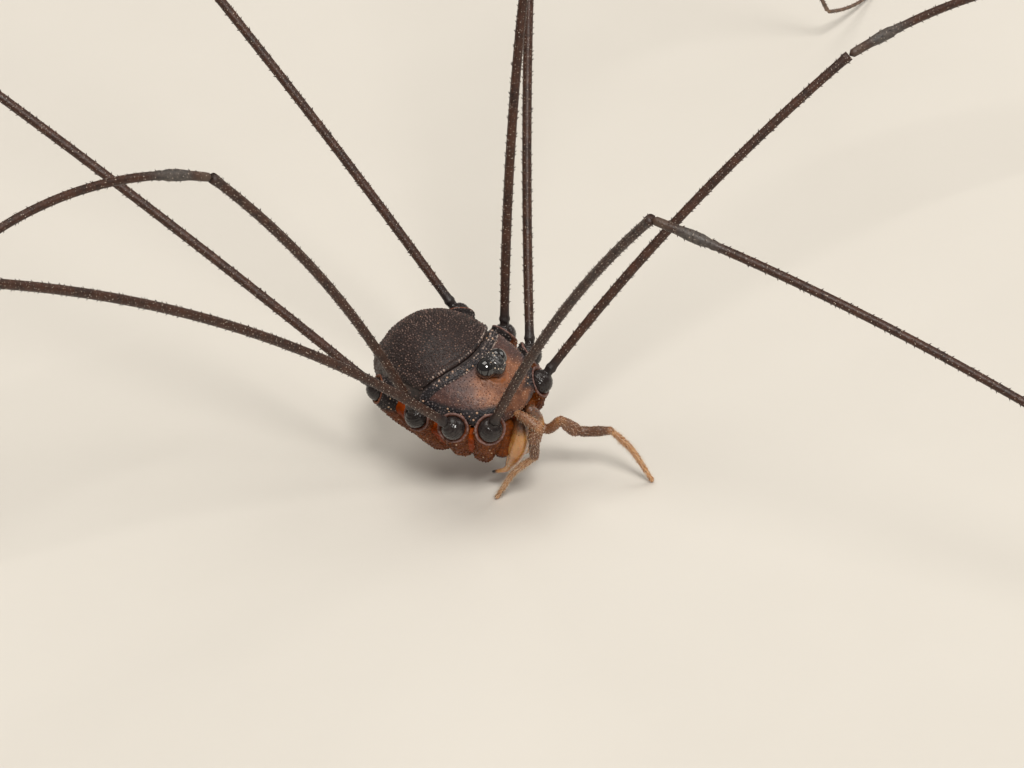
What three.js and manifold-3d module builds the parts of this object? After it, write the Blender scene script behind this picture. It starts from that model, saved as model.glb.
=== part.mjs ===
// A harvestman at life size, standing on eight long legs with both feelers touching the ground.
// Millimetres, +Z up, the ground at Z = 0. The animal faces -Y and its own left is +X.
import * as THREE from 'three';
import { mergeVertices } from 'three/addons/utils/BufferGeometryUtils.js';
import Module from 'manifold-3d';

const wasm = await Module();
wasm.setup();

// Body sizes. Places on the body are given as forward, left and up from the midpoint of the third leg pair.
const BODY_HEIGHT = 4.7; // the midpoint of the third pair's sockets above the ground
const BODY_PITCH = 9.2; // degrees that the head is lowered
const BODY_ROLL = 5.5; // degrees that the right side is lowered
const BODY_WIDTH = 4.4;
const BODY_FRONT = 2.9; // how far the front margin reaches from the third pair
const BODY_REAR = 3.3;
const BODY_WIDEST_AT = -0.4;
const SHOULDER_POWER = 2.6; // how square the body is at its ends, seen from above
const EDGE_POWER = 2.2;
const CROWN_HEIGHT = 1.88; // the top of the dorsal shield above the sockets
const CROWN_AT = -0.9;
const CROWN_REACH = [2.42, 3.8]; // from the crown back to the rear end and forward to the front end
const CROWN_POWER = [2, 1.07];
const CHEST_DEPTH = 2.25; // the underside below the sockets
const CHEST_WIDTH = 2.9;
const CHEST_REAR = 1.3;
const CHEST_FRONT = 2.62;
const CHEST_MIDDLE = 0.5;
const CHEST_SQUARENESS = 3; // how square the chest is at its ends, seen from the side
const BACK_DEPTH = 1.2; // the back's form below the sockets, where it is widest
const LEAST_HALF = 0.02; // the smallest half width or height of a section

// The dorsal shield, the head shield in front of it, and the belly below.
const GROOVE_AT = 0.68; // the furrow between the two shields, on the midline
const GROOVE_BOW = 0.21; // how fast the furrow falls back towards the sides
const GAP = 0.1; // the clear space between neighbouring pieces
const BEYOND_BODY = 4; // far enough from the third pair to lie outside the body above and below
const BLOCK_REAR = 2; // how far behind the third pair the blocks that trim the head and chest start
const SHIELD_EDGE = 0.66; // height of the dorsal shield's side margin
const SHIELD_REAR_EDGE = 0.12;
const SHIELD_BREAK_AT = -1.9; // from here back the shield's margin slopes down
const HEAD_EDGE = -0.3; // lower margin of the head shield
const BELLY_CENTRE = [-1.58, 0, -0.55];
const BELLY_HALF = [2.18, 1.9, 1.5]; // along, across and up

// The black mound with an eye on each side.
const MOUND_CENTRE = [1.62, 0, 1.48];
const MOUND_HALF = [0.5, 0.4, 0.48];
const EYE_CENTRE = [1.54, 0.26, 1.5];
const EYE_RADIUS = 0.31;

// The hip of each leg: its socket, the low inner end of its column, and its sizes.
const HIPS = [
  { socket: [2.55, 1.5, -0.12], foot: [1.86, 1.12, -1.98], ball: 0.47, rim: 0.6, base: 0.4 },
  { socket: [1.46, 2.3, 0], foot: [1.02, 1.3, -1.98], ball: 0.45, rim: 0.58, base: 0.42 },
  { socket: [0, 2.62, 0], foot: [0.05, 1.42, -2.0], ball: 0.44, rim: 0.56, base: 0.46 },
  { socket: [-2.0, 2.42, 0.08], foot: [-0.95, 1.3, -1.85], ball: 0.44, rim: 0.56, base: 0.48 },
];

// Lengths of the leg's segments, pair by pair, and their thickness.
const LEG_LENGTHS = [
  { femur: 16.6, patella: 1.9, tibia: 14, metatarsus: 17, tarsus: 19 },
  { femur: 28, patella: 2.4, tibia: 25, metatarsus: 30, tarsus: 34 },
  { femur: 15.6, patella: 1.8, tibia: 13.5, metatarsus: 18, tarsus: 17 },
  { femur: 21, patella: 2.1, tibia: 18, metatarsus: 23, tarsus: 23 },
];
const LEG_RADIUS = 0.25;
const KNEE_RADIUS = 0.29;
const TARSUS_TIP_RADIUS = 0.15;
const ANKLE_HEIGHT = 1.7;
const SHANK_BOW = 0.05; // how far the metatarsus arches, as a share of its length
const FOOT_FALL = 0.35; // share of the foot that curves down before it lies on the ground
const LEG_SIDES = 8;
const FOOT_SIDES = 6;
const EXIT_LIFT = 0.25; // how far a socket's way out turns upwards from its column's direction
const END_CAP_LIFTS = [35, 70]; // degrees at which a limb's rounded end has a ring

// The stance. A heading is degrees from straight ahead towards the leg's own side, and a climb is
// degrees above the ground. Each pair of numbers is at the segment's start and at its end.
const STANCE = {
  left: [
    {
      femur: [[61, 57.3], [43, 30.1]],
      tibia: [[72, 66], [8, -30]],
      metatarsus: 62,
      tarsus: [60, 48],
    },
    {
      femur: [[122.9, 116.7], [51.7, 34.2]],
      tibia: [[110, 106], [12, -28]],
      metatarsus: 104,
      tarsus: [102, 84],
    },
    {
      femur: [[101, 100.3], [75.5, 61]],
      tibia: [[104, 102], [18, -36]],
      metatarsus: 100,
      tarsus: [98, 116],
    },
    {
      femur: [[181.1, 181.8], [51.6, 45.3]],
      tibia: [[172, 164], [14, -28]],
      metatarsus: 160,
      tarsus: [158, 140],
    },
  ],
  right: [
    {
      femur: [[2.9, 10.9], [60.2, 45.1]],
      tibia: [[-16.8, -16.7], [-18.5, -30.7]],
      metatarsus: -10,
      tarsus: [-8, 10],
    },
    {
      femur: [[106.8, 102.2], [52.2, 25.2]],
      tibia: [[100, 96], [6, -24]],
      metatarsus: 94,
      tarsus: [92, 74],
    },
    {
      femur: [[101.3, 101.1], [73.3, 54.3]],
      tibia: [[110.4, 98.7], [30.7, -38]],
      metatarsus: 100,
      tarsus: [102, 122],
    },
    {
      femur: [[163.2, 162.5], [41.4, 37.1]],
      tibia: [[160, 156], [8, -26]],
      metatarsus: 154,
      tarsus: [152, 134],
    },
  ],
};

// The feelers' joints, from the root to the tip. The tip's height comes from the ground.
const FEELERS = {
  left: [
    [2.85, 0.8, -1.5],
    [3.24, 0.92, -1.72],
    [3.69, 1.2, -1.2],
    [4.08, 1.7, -1.96],
    [5.18, 2.3, -1.81],
  ],
  right: [
    [3.05, -0.5, 0.18],
    [3.6, -0.52, 0.14],
    [4.12, -0.5, -0.04],
    [3.9, -0.56, -0.4],
    [3.74, -0.5, -1.74],
  ],
};
const FEELER_TIPS = { left: [6.72, 2.66], right: [2.3, -1.12] }; // forward and left
const FEELER_RADII = [0.2, 0.22, 0.2, 0.15, 0.12];
const FEELER_SIDES = 8;
const FEELER_BOW = 0.32; // how far the last segment arches up from a straight line
const TIP_FLAT = 0.05; // height trimmed off under the tip, so that it rests on a small flat

// The pincers that hang in front of the mouth, and the lobes beside them.
const PINCER_JOINTS = [
  [2.98, 0.25, -0.15],
  [3.1, 0.42, -0.85],
  [2.96, 0.46, -1.6],
  [2.62, 0.5, -2.65],
  [2.38, 0.56, -3.12],
  [1.86, 0.72, -3.46],
];
const PINCER_RADII = [0.18, 0.33, 0.35, 0.18, 0.11, 0.06];
const LOBE = { top: [2.4, 0.64, -0.85], foot: [2.34, 0.72, -1.95], radii: [0.25, 0.24] };

const COLOURS = {
  shield: [0x2e2422, 0.55],
  head: [0x7a4c38, 0.6],
  belly: [0x2a211f, 0.6],
  chest: [0xa04a12, 0.5],
  hip: [0x6d3d20, 0.65],
  eye: [0x050505, 0.08],
  mound: [0x0c0b0b, 0.3],
  leg: [0x35231b, 0.55],
  feeler: [0x8a5a3c, 0.6],
  pincer: [0xb87a3a, 0.35],
};

const FORWARD = new THREE.Vector3(0, -1, 0);
const UP = new THREE.Vector3(0, 0, 1);
const SIDEWAYS = new THREE.Vector3(1, 0, 0);

const radians = THREE.MathUtils.degToRad;
const lerp = THREE.MathUtils.lerp;

// A place on the body, mirrored to the right side where side is -1.
function spot([forward, left, up], side = 1) {
  return new THREE.Vector3(left * side, -forward, up);
}

const body = new THREE.Group();
body.position.set(0, 0, BODY_HEIGHT);
body.rotation.set(radians(BODY_PITCH), -radians(BODY_ROLL), 0);
body.updateMatrixWorld(true);

function toGround(point) {
  return body.localToWorld(point.clone());
}

// One closed surface through rings of points, each ring turning rightwards about the way it travels.
function closedRings(rings) {
  const sides = rings[0].length;
  const points = rings.flat();
  const faces = [];
  for (let r = 0; r + 1 < rings.length; r++) {
    for (let i = 0; i < sides; i++) {
      const a = r * sides + i;
      const b = r * sides + ((i + 1) % sides);
      faces.push(a, b, b + sides, a, b + sides, a + sides);
    }
  }
  [0, rings.length - 1].forEach((r) => {
    const centre = new THREE.Vector3();
    rings[r].forEach((point) => centre.addScaledVector(point, 1 / sides));
    points.push(centre);
    for (let i = 0; i < sides; i++) {
      const a = r * sides + i;
      const b = r * sides + ((i + 1) % sides);
      faces.push(points.length - 1, r ? a : b, r ? b : a);
    }
  });
  const geometry = new THREE.BufferGeometry();
  geometry.setAttribute('position', new THREE.Float32BufferAttribute(points.flatMap((p) => p.toArray()), 3));
  geometry.setIndex(faces);
  return geometry;
}

// A tube along a path with a radius at each point, rounded at its ends, its sections turned by a reference.
function limb(path, radii, sides, reference = UP) {
  const stations = path.map((point, i) => ({ point, radius: radii[i] }));
  const along = path.map((_, i) => {
    const from = path[Math.max(i - 1, 0)];
    const to = path[Math.min(i + 1, path.length - 1)];
    return to.clone().sub(from).normalize();
  });
  const capStep = ([index, sign, lift]) => ({
    point: path[index].clone().addScaledVector(along[index], sign * radii[index] * Math.sin(lift)),
    radius: radii[index] * Math.cos(lift),
    direction: along[index],
  });
  const lifts = END_CAP_LIFTS.map(radians);
  const last = path.length - 1;
  const start = lifts.map((lift) => capStep([0, -1, lift])).reverse();
  const end = lifts.map((lift) => capStep([last, 1, lift]));
  const middle = stations.map((station, i) => ({ ...station, direction: along[i] }));
  const rings = [...start, ...middle, ...end].map(({ point, radius, direction }) => {
    const across = new THREE.Vector3().crossVectors(reference, direction).normalize();
    const lift = new THREE.Vector3().crossVectors(direction, across);
    return Array.from({ length: sides }, (_, i) => {
      const turn = ((i + 0.5) / sides) * 2 * Math.PI - Math.PI / 2;
      return point.clone()
        .addScaledVector(across, radius * Math.cos(turn))
        .addScaledVector(lift, radius * Math.sin(turn));
    });
  });
  return closedRings(rings);
}

function solid(geometry) {
  const bare = geometry.clone();
  bare.deleteAttribute('normal');
  bare.deleteAttribute('uv');
  const merged = mergeVertices(bare, 1e-5);
  const vertProperties = new Float32Array(merged.attributes.position.array);
  const triVerts = new Uint32Array(merged.index.array);
  return new wasm.Manifold(new wasm.Mesh({ numProp: 3, vertProperties, triVerts }));
}

// The largest closed surface of a solid, as a geometry.
function geometryOf(shape) {
  const largest = shape.decompose().reduce((a, b) => (b.volume() > a.volume() ? b : a));
  const { vertProperties, triVerts } = largest.getMesh();
  const geometry = new THREE.BufferGeometry();
  geometry.setAttribute('position', new THREE.BufferAttribute(new Float32Array(vertProperties), 3));
  geometry.setIndex(new THREE.BufferAttribute(new Uint32Array(triVerts), 1));
  return geometry;
}

function subtractAll(shape, others) {
  return others.reduce((rest, other) => rest.subtract(other), shape);
}

function addMesh(parent, name, geometry, finish, origin = new THREE.Vector3()) {
  const [color, roughness] = COLOURS[finish];
  geometry.translate(-origin.x, -origin.y, -origin.z);
  geometry.computeVertexNormals();
  const material = new THREE.MeshStandardMaterial({ color, roughness, metalness: 0, flatShading: true });
  const mesh = new THREE.Mesh(geometry, material);
  mesh.name = name;
  mesh.position.copy(origin);
  parent.add(mesh);
}

function ball(centre, radius, around, down) {
  const geometry = new THREE.SphereGeometry(radius, around, down);
  geometry.translate(centre.x, centre.y, centre.z);
  return solid(geometry);
}

// An oval form from its half sizes along the body, across it and up, swollen by a margin.
function oval(place, [along, across, up], margin, around, down) {
  const centre = spot(place);
  const geometry = new THREE.SphereGeometry(1, around, down);
  geometry.scale(across + margin, along + margin, up + margin);
  geometry.translate(centre.x, centre.y, centre.z);
  return solid(geometry);
}

// How far the body reaches, in half widths and heights, at a distance forward of the third pair.
function roundedShare(distance, reach, power, edge) {
  const share = Math.min(Math.abs(distance) / reach, 1);
  return (1 - share ** power) ** (1 / edge);
}

function halfWidthAt(forward) {
  const reach = forward > BODY_WIDEST_AT ? BODY_FRONT - BODY_WIDEST_AT : BODY_REAR + BODY_WIDEST_AT;
  return (BODY_WIDTH / 2) * roundedShare(forward - BODY_WIDEST_AT, reach, SHOULDER_POWER, EDGE_POWER);
}

function crownHeightAt(forward) {
  const ahead = forward > CROWN_AT ? 1 : 0;
  return CROWN_HEIGHT * roundedShare(forward - CROWN_AT, CROWN_REACH[ahead], CROWN_POWER[ahead], 2);
}

const LOFT_INSET = 0.002; // how far a loft's end sections are kept from its ends

// A form with an oval section of its own half width, height and depth at each place along the body.
function ovalLoft(rear, front, steps, around, sectionAt) {
  const rings = [];
  for (let i = 0; i <= steps; i++) {
    const forward = (rear + front) / 2 - ((front - rear) / 2) * Math.cos((Math.PI * i) / steps);
    const inside = THREE.MathUtils.clamp(forward, rear + LOFT_INSET, front - LOFT_INSET);
    const { half, height, depth } = sectionAt(inside);
    rings.push(Array.from({ length: around }, (_, k) => {
      const turn = (k / around) * 2 * Math.PI;
      const rise = Math.sin(turn) > 0 ? height : depth;
      return spot([inside, half * Math.cos(turn), rise * Math.sin(turn)]);
    }));
  }
  return solid(closedRings(rings));
}

const BACK_FORM = ovalLoft(-BODY_REAR, BODY_FRONT, 16, 28, (forward) => {
  const half = Math.max(halfWidthAt(forward), LEAST_HALF);
  const height = Math.max(crownHeightAt(forward), LEAST_HALF);
  return { half, height, depth: (BACK_DEPTH * half) / (BODY_WIDTH / 2) };
});

// Everything behind or ahead of the furrow between the shields, clear of it by half a gap.
function besideGroove(ahead) {
  const far = 6;
  const shape = new THREE.Shape();
  const side = ahead ? 1 : -1;
  const steps = 12;
  for (let i = 0; i <= steps; i++) {
    const left = lerp(-far / 2, far / 2, i / steps);
    const forward = GROOVE_AT - GROOVE_BOW * left * left + (side * GAP) / 2;
    if (i) shape.lineTo(left, -forward);
    else shape.moveTo(left, -forward);
  }
  shape.lineTo(far, -side * far);
  shape.lineTo(-far, -side * far);
  shape.closePath();
  const geometry = new THREE.ExtrudeGeometry(shape, { depth: far, bevelEnabled: false });
  geometry.translate(0, 0, -far / 2);
  return solid(geometry);
}

// A block right across the body whose outline is given as forward and up.
function sideBlock(outline) {
  const span = 8;
  const shape = new THREE.Shape(outline.map(([forward, up]) => new THREE.Vector2(forward, up)));
  const geometry = new THREE.ExtrudeGeometry(shape, { depth: span, bevelEnabled: false });
  const basis = new THREE.Matrix4().makeBasis(FORWARD, UP, new THREE.Vector3(-1, 0, 0));
  geometry.applyMatrix4(basis.setPosition(span / 2, 0, 0));
  return solid(geometry);
}

// The shield's lower margin from the rear to well past the furrow, raised or lowered by an offset.
function shieldMargin(offset) {
  return [
    [-BODY_REAR - 1, SHIELD_REAR_EDGE + offset],
    [-BODY_REAR, SHIELD_REAR_EDGE + offset],
    [SHIELD_BREAK_AT, SHIELD_EDGE + offset],
    [BODY_FRONT, SHIELD_EDGE + offset],
  ];
}

// A block under a level, from behind the chest to ahead of the body.
function blockBelow(level) {
  return sideBlock([
    [-BLOCK_REAR, -BEYOND_BODY],
    [BEYOND_BODY, -BEYOND_BODY],
    [BEYOND_BODY, level],
    [-BLOCK_REAR, level],
  ]);
}

const ABOVE_MARGIN = sideBlock([
  ...shieldMargin(GAP / 2),
  [BODY_FRONT, BEYOND_BODY],
  [-BODY_REAR - 1, BEYOND_BODY],
]);
const BELOW_MARGIN = sideBlock([
  [-BODY_REAR - 1, -BEYOND_BODY],
  [BODY_FRONT, -BEYOND_BODY],
  ...shieldMargin(-GAP / 2).reverse(),
]);
const BELOW_HEAD_EDGE = blockBelow(HEAD_EDGE);
const BELOW_CHEST_TOP = blockBelow(HEAD_EDGE - GAP);

// Hip columns, each with a cup for its ball, in local body coordinates.
function hipColumn({ socket, foot, rim, base }, side, extra) {
  const from = spot(foot, side);
  const to = spot(socket, side);
  const path = [from, from.clone().lerp(to, 0.5), to];
  const radii = path.map((_, i) => lerp(base, rim, i / 2) + extra);
  return solid(limb(path, radii, 10));
}

function exitDirection({ socket, foot }, side) {
  return spot(socket, side).sub(spot(foot, side)).normalize().lerp(UP, EXIT_LIFT).normalize();
}

// Everything beyond the plane through a point, on the side that a direction points to.
function beyond(point, direction, size = 4) {
  const geometry = new THREE.BoxGeometry(size, size, size);
  geometry.translate(0, 0, size / 2);
  geometry.applyQuaternion(new THREE.Quaternion().setFromUnitVectors(UP, direction));
  geometry.translate(point.x, point.y, point.z);
  return solid(geometry);
}

const SIDES = [['left', 1], ['right', -1]];

function mirrored(build) {
  return SIDES.flatMap(([, side]) => HIPS.map((hip) => build(hip, side)));
}

const swollenBalls = mirrored((hip, side) => ball(spot(hip.socket, side), hip.ball + GAP, 12, 8));
const columns = mirrored((hip, side) => hipColumn(hip, side, 0));
const swollenColumns = mirrored((hip, side) => hipColumn(hip, side, GAP));

// The socket's column below each ball, cut to a cup and clear of the columns made before it.
function addHips() {
  SIDES.forEach(([sideName, side], s) => HIPS.forEach((hip, i) => {
    const index = s * HIPS.length + i;
    const before = swollenColumns.slice(s * HIPS.length, index);
    const mouth = beyond(spot(hip.socket, side), exitDirection(hip, side));
    const shape = subtractAll(columns[index], [mouth, ...swollenBalls, ...before]);
    addMesh(body, `hip_${sideName}_${i + 1}`, geometryOf(shape), 'hip');
  }));
}

function addShields() {
  const shield = BACK_FORM.intersect(besideGroove(false)).intersect(ABOVE_MARGIN);
  addMesh(body, 'dorsal_shield', geometryOf(subtractAll(shield, swollenBalls)), 'shield');
  const head = BACK_FORM.intersect(besideGroove(true)).subtract(BELOW_HEAD_EDGE);
  const swollenMound = oval(MOUND_CENTRE, MOUND_HALF, GAP, 14, 10);
  const neighbours = [swollenMound, ...swollenBalls, ...swollenColumns, ...swollenMouth];
  addMesh(body, 'head_shield', geometryOf(subtractAll(head, neighbours)), 'head');
}

function addEyes() {
  const sockets = SIDES.map(([, side]) => ball(spot(EYE_CENTRE, side), EYE_RADIUS + GAP / 2, 12, 8));
  const mound = subtractAll(oval(MOUND_CENTRE, MOUND_HALF, 0, 14, 10), sockets);
  addMesh(body, 'eye_mound', geometryOf(mound), 'mound');
  SIDES.forEach(([sideName, side]) => {
    addMesh(body, `eye_${sideName}`, geometryOf(ball(spot(EYE_CENTRE, side), EYE_RADIUS, 12, 8)), 'eye');
  });
}

// The belly behind the furrow and the chest ahead of it, both under the shields and between the hips.
function addUnderside() {
  const hips = [...swollenBalls, ...swollenColumns];
  const belly = BACK_FORM.add(oval(BELLY_CENTRE, BELLY_HALF, 0, 20, 14)).intersect(besideGroove(false));
  addMesh(body, 'belly', geometryOf(subtractAll(belly.intersect(BELOW_MARGIN), hips)), 'belly');
  const chest = ovalLoft(-CHEST_REAR, CHEST_FRONT, 8, 18, (forward) => {
    const reach = CHEST_FRONT - CHEST_MIDDLE;
    const share = Math.max(roundedShare(forward - CHEST_MIDDLE, reach, CHEST_SQUARENESS, 2), LEAST_HALF);
    return { half: (CHEST_WIDTH / 2) * share, height: GAP * share, depth: CHEST_DEPTH * share };
  });
  const lowered = chest.intersect(besideGroove(true)).intersect(BELOW_CHEST_TOP);
  addMesh(body, 'chest', geometryOf(subtractAll(lowered, [...hips, ...swollenMouth])), 'chest');
}

// A smooth path through joints, with radii that follow it.
function smoothPath(joints, radii, steps) {
  const path = new THREE.CatmullRomCurve3(joints, false, 'centripetal').getPoints(steps);
  const sizes = path.map((_, i) => {
    const place = (i / steps) * (joints.length - 1);
    const from = Math.min(Math.floor(place), joints.length - 2);
    return lerp(radii[from], radii[from + 1], place - from);
  });
  return [path, sizes];
}

function lobe(side, extra) {
  const path = [spot(LOBE.top, side), spot(LOBE.foot, side)];
  return solid(limb(path, LOBE.radii.map((radius) => radius + extra), 10, SIDEWAYS));
}

function pincer(side, extra) {
  const joints = PINCER_JOINTS.map((joint) => spot(joint, side));
  const [path, radii] = smoothPath(joints, PINCER_RADII, 13);
  return solid(limb(path, radii.map((radius) => radius + extra), 10, SIDEWAYS));
}

const groundPoint = body.worldToLocal(new THREE.Vector3());
const groundDown = body.worldToLocal(new THREE.Vector3(0, 0, -1)).sub(groundPoint).normalize();
const GROUND = beyond(groundPoint, groundDown, 30);
const swollenMouth = SIDES.flatMap(([, side]) => [lobe(side, GAP), pincer(side, GAP)]);

function addMouth() {
  SIDES.forEach(([sideName, side]) => {
    addMesh(body, `pincer_${sideName}`, geometryOf(pincer(side, 0)), 'pincer');
    addMesh(body, `mouth_lobe_${sideName}`, geometryOf(subtractAll(lobe(side, 0), swollenColumns)), 'hip');
  });
}

// Where a feeler's tip touches the ground, sunk by the height that is trimmed flat.
function feelerTip(sideName) {
  const [forward, left] = FEELER_TIPS[sideName];
  const above = spot([forward, left, 0]);
  const below = spot([forward, left, -1]);
  const drop = toGround(above).z - toGround(below).z;
  const fall = (toGround(above).z - FEELER_RADII.at(-1) + TIP_FLAT) / drop;
  return above.lerp(below, fall);
}

// Points evenly along a path, from which a length is left off at the start and at the end.
function between(path, steps, startCut, endCut) {
  const curve = new THREE.CatmullRomCurve3(path, false, 'centripetal');
  const length = curve.getLength();
  return Array.from({ length: steps + 1 }, (_, i) => (
    curve.getPointAt(lerp(startCut / length, 1 - endCut / length, i / steps))
  ));
}

function addFeelers() {
  SIDES.forEach(([sideName]) => {
    const joints = FEELERS[sideName].map((joint) => spot(joint));
    const tip = feelerTip(sideName);
    const crest = joints.at(-1).clone().lerp(tip, 0.5).add(spot([0, 0, FEELER_BOW]));
    const [first, second, third, fourth, fifth] = FEELER_RADII;
    const parts = [
      { name: 'femur', joints: joints.slice(0, 3), radii: [first, second, second], steps: 6 },
      { name: 'tibia', joints: joints.slice(2), radii: [second, third, third], steps: 8 },
      { name: 'tarsus', joints: [joints.at(-1), crest, tip], radii: [fourth, fourth, fifth], steps: 7 },
    ];
    parts.forEach(({ name, joints: route, radii, steps }, k) => {
      const startCut = k > 0 ? radii[0] + GAP / 2 : 0;
      const endCut = k < 2 ? radii[2] + GAP / 2 : 0;
      const path = between(smoothPath(route, radii, 12)[0], steps, startCut, endCut);
      const sizes = path.map((_, i) => lerp(radii[0], radii[2], i / steps));
      const neighbours = k === 0 ? [...swollenMouth, ...swollenColumns] : [GROUND];
      const shape = subtractAll(solid(limb(path, sizes, FEELER_SIDES, SIDEWAYS)), neighbours);
      addMesh(body, `feeler_${sideName}_${name}`, geometryOf(shape), 'feeler');
    });
  });
}

function heading(azimuth, climb, side) {
  const level = Math.cos(radians(climb));
  return new THREE.Vector3(
    side * Math.sin(radians(azimuth)) * level,
    -Math.cos(radians(azimuth)) * level,
    Math.sin(radians(climb)),
  );
}

// A path of a given length whose heading and climb turn evenly from its start to its end.
function walk(start, length, headings, climbs, side, steps = 12) {
  const path = [start.clone()];
  for (let i = 0; i < steps; i++) {
    const share = (i + 0.5) / steps;
    const direction = heading(lerp(...headings, share), lerp(...climbs, share), side);
    path.push(path[i].clone().addScaledVector(direction, length / steps));
  }
  return path;
}

// A straight shank from the shin's end down to the ankle, bowed a little outwards.
function shankPath(start, length, azimuth, side) {
  const drop = start.z - ANKLE_HEIGHT;
  const reach = Math.sqrt(length * length - drop * drop);
  const end = start.clone().addScaledVector(heading(azimuth, 0, side), reach);
  end.z = ANKLE_HEIGHT;
  const middle = start.clone().lerp(end, 0.5).add(new THREE.Vector3(0, 0, length * SHANK_BOW));
  return new THREE.CatmullRomCurve3([start, middle, end]).getPoints(8);
}

// The foot falls from the ankle in a curve and then lies along the ground.
function footPath(start, length, headings, side, radiusAt) {
  const steps = 14;
  const flat = Math.cos(Math.PI / FOOT_SIDES);
  const level = walk(start, length, headings, [0, 0], side, steps);
  return level.map((point, i) => {
    const share = i / steps;
    const left = Math.max(1 - share / FOOT_FALL, 0);
    const height = radiusAt(share) * flat + (start.z - radiusAt(0) * flat) * left * left;
    return new THREE.Vector3(point.x, point.y, height);
  });
}

function addLeg(sideName, side, pair) {
  const sizes = LEG_LENGTHS[pair];
  const stance = STANCE[sideName][pair];
  const name = (part) => `leg_${sideName}_${pair + 1}_${part}`;
  const socket = toGround(spot(HIPS[pair].socket, side));
  const joint = LEG_RADIUS + GAP / 2;

  const thigh = walk(socket, sizes.femur, ...stance.femur, side);
  const thighPath = between(thigh, 7, 0, joint);
  const thighSolid = solid(limb(thighPath, thighPath.map(() => LEG_RADIUS), LEG_SIDES));
  const hipBall = ball(socket, HIPS[pair].ball, 10, 7);
  addMesh(model, name('femur'), geometryOf(thighSolid.add(hipBall)), 'leg', socket);

  const knee = thigh.at(-1);
  const shinLength = sizes.patella + sizes.tibia;
  const shin = walk(knee, shinLength, ...stance.tibia, side);
  const shinPath = between(shin, 10, joint, joint);
  const shinRadii = shinPath.map((_, i) => (i === 1 ? KNEE_RADIUS : LEG_RADIUS));
  addMesh(model, name('tibia'), limb(shinPath, shinRadii, LEG_SIDES), 'leg', knee);

  const shinEnd = shin.at(-1);
  const shank = shankPath(shinEnd, sizes.metatarsus, stance.metatarsus, side);
  const shankMiddle = between(shank, 6, joint, joint);
  const shankRadii = shankMiddle.map(() => LEG_RADIUS);
  addMesh(model, name('metatarsus'), limb(shankMiddle, shankRadii, FOOT_SIDES), 'leg', shinEnd);

  const ankle = shank.at(-1);
  const footRadius = (share) => lerp(LEG_RADIUS, TARSUS_TIP_RADIUS, share ** 2);
  const foot = footPath(ankle, sizes.tarsus, stance.tarsus, side, footRadius);
  const footRadii = foot.map((_, i) => footRadius(i / (foot.length - 1)));
  addMesh(model, name('tarsus'), limb(foot, footRadii, FOOT_SIDES), 'leg', ankle);
}

const model = new THREE.Group();
model.add(body);
addHips();
addShields();
addEyes();
addUnderside();
addMouth();
addFeelers();
SIDES.forEach(([sideName, side]) => HIPS.forEach((_, pair) => addLeg(sideName, side, pair)));

// The origin is on the ground, under the middle of everything.
const bounds = new THREE.Box3().setFromObject(model, true);
const centre = bounds.getCenter(new THREE.Vector3());
model.position.set(-centre.x, -centre.y, 0);
model.updateMatrixWorld(true);

export default model;
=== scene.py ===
"""A harvestman in fine detail, standing with both feelers on the ground.

Sizes are millimetres unless a name says otherwise. Places on the body are forward, left and up from the
midpoint of the third leg pair, and the frame gives where that midpoint stands.
"""
import math

import bpy
import numpy as np
from mathutils import Matrix, Vector


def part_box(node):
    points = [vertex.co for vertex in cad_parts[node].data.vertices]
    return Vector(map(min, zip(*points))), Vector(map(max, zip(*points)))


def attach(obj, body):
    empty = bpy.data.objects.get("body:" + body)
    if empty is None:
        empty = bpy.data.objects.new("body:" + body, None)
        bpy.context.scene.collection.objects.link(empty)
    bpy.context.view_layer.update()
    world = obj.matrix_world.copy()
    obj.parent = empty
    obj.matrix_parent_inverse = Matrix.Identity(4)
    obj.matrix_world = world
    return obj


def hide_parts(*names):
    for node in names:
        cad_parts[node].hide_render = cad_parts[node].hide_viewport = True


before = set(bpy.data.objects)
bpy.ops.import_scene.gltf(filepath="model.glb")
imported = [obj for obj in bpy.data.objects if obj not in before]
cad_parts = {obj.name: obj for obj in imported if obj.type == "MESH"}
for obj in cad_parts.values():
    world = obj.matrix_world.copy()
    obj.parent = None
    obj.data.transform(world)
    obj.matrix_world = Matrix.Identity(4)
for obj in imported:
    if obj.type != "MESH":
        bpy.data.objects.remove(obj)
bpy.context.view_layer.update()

MM = 0.001
TINY = 1e-6

# The body's place and turn in the frame.
BODY_PITCH = 9.2
BODY_ROLL = 5.5
EYE_CENTRE = (1.54, 0.26, 1.5)
EYE_RADIUS = 0.37
EYE_SHIFT = 0.06

# The body's form.
HALF_WIDTH = 2.2
BODY_FRONT = 2.9
BODY_REAR = 3.3
WIDEST_AT = -0.4
SHOULDER_POWER = 2.6
EDGE_POWER = 2.2
CROWN_HEIGHT = 1.88
CROWN_AT = -0.9
CROWN_REACH = (2.42, 3.8)
CROWN_POWER = (2, 1.07)
GROOVE_AT = 0.68
GROOVE_BOW = 0.21
GAP = 0.1
BAND_WIDTH = 0.30
SHIELD_MIDDLE = -1.1
SHIELD_EDGE = 0.66
SHIELD_REAR_EDGE = 0.12
SHIELD_BREAK_AT = -1.9
ROLLED_EDGE = 0.1
SKIRT_DEPTHS = (0.07, 0.16, 0.3)
HEAD_DEPTH = 0.62
HEAD_FRONT = BODY_FRONT - 0.004
BELLY_CENTRE = (-1.58, -0.55)
BELLY_HALF = (2.18, 1.9, 1.5)
BELLY_FRONT = 1.0
CHEST_ENDS = (-1.3, 2.62)
CHEST_HALF = (1.42, 2.22)
MOUND_CENTRE = (1.62, 0.0, 1.48)
MOUND_HALF = (0.5, 0.4, 0.48)

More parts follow.
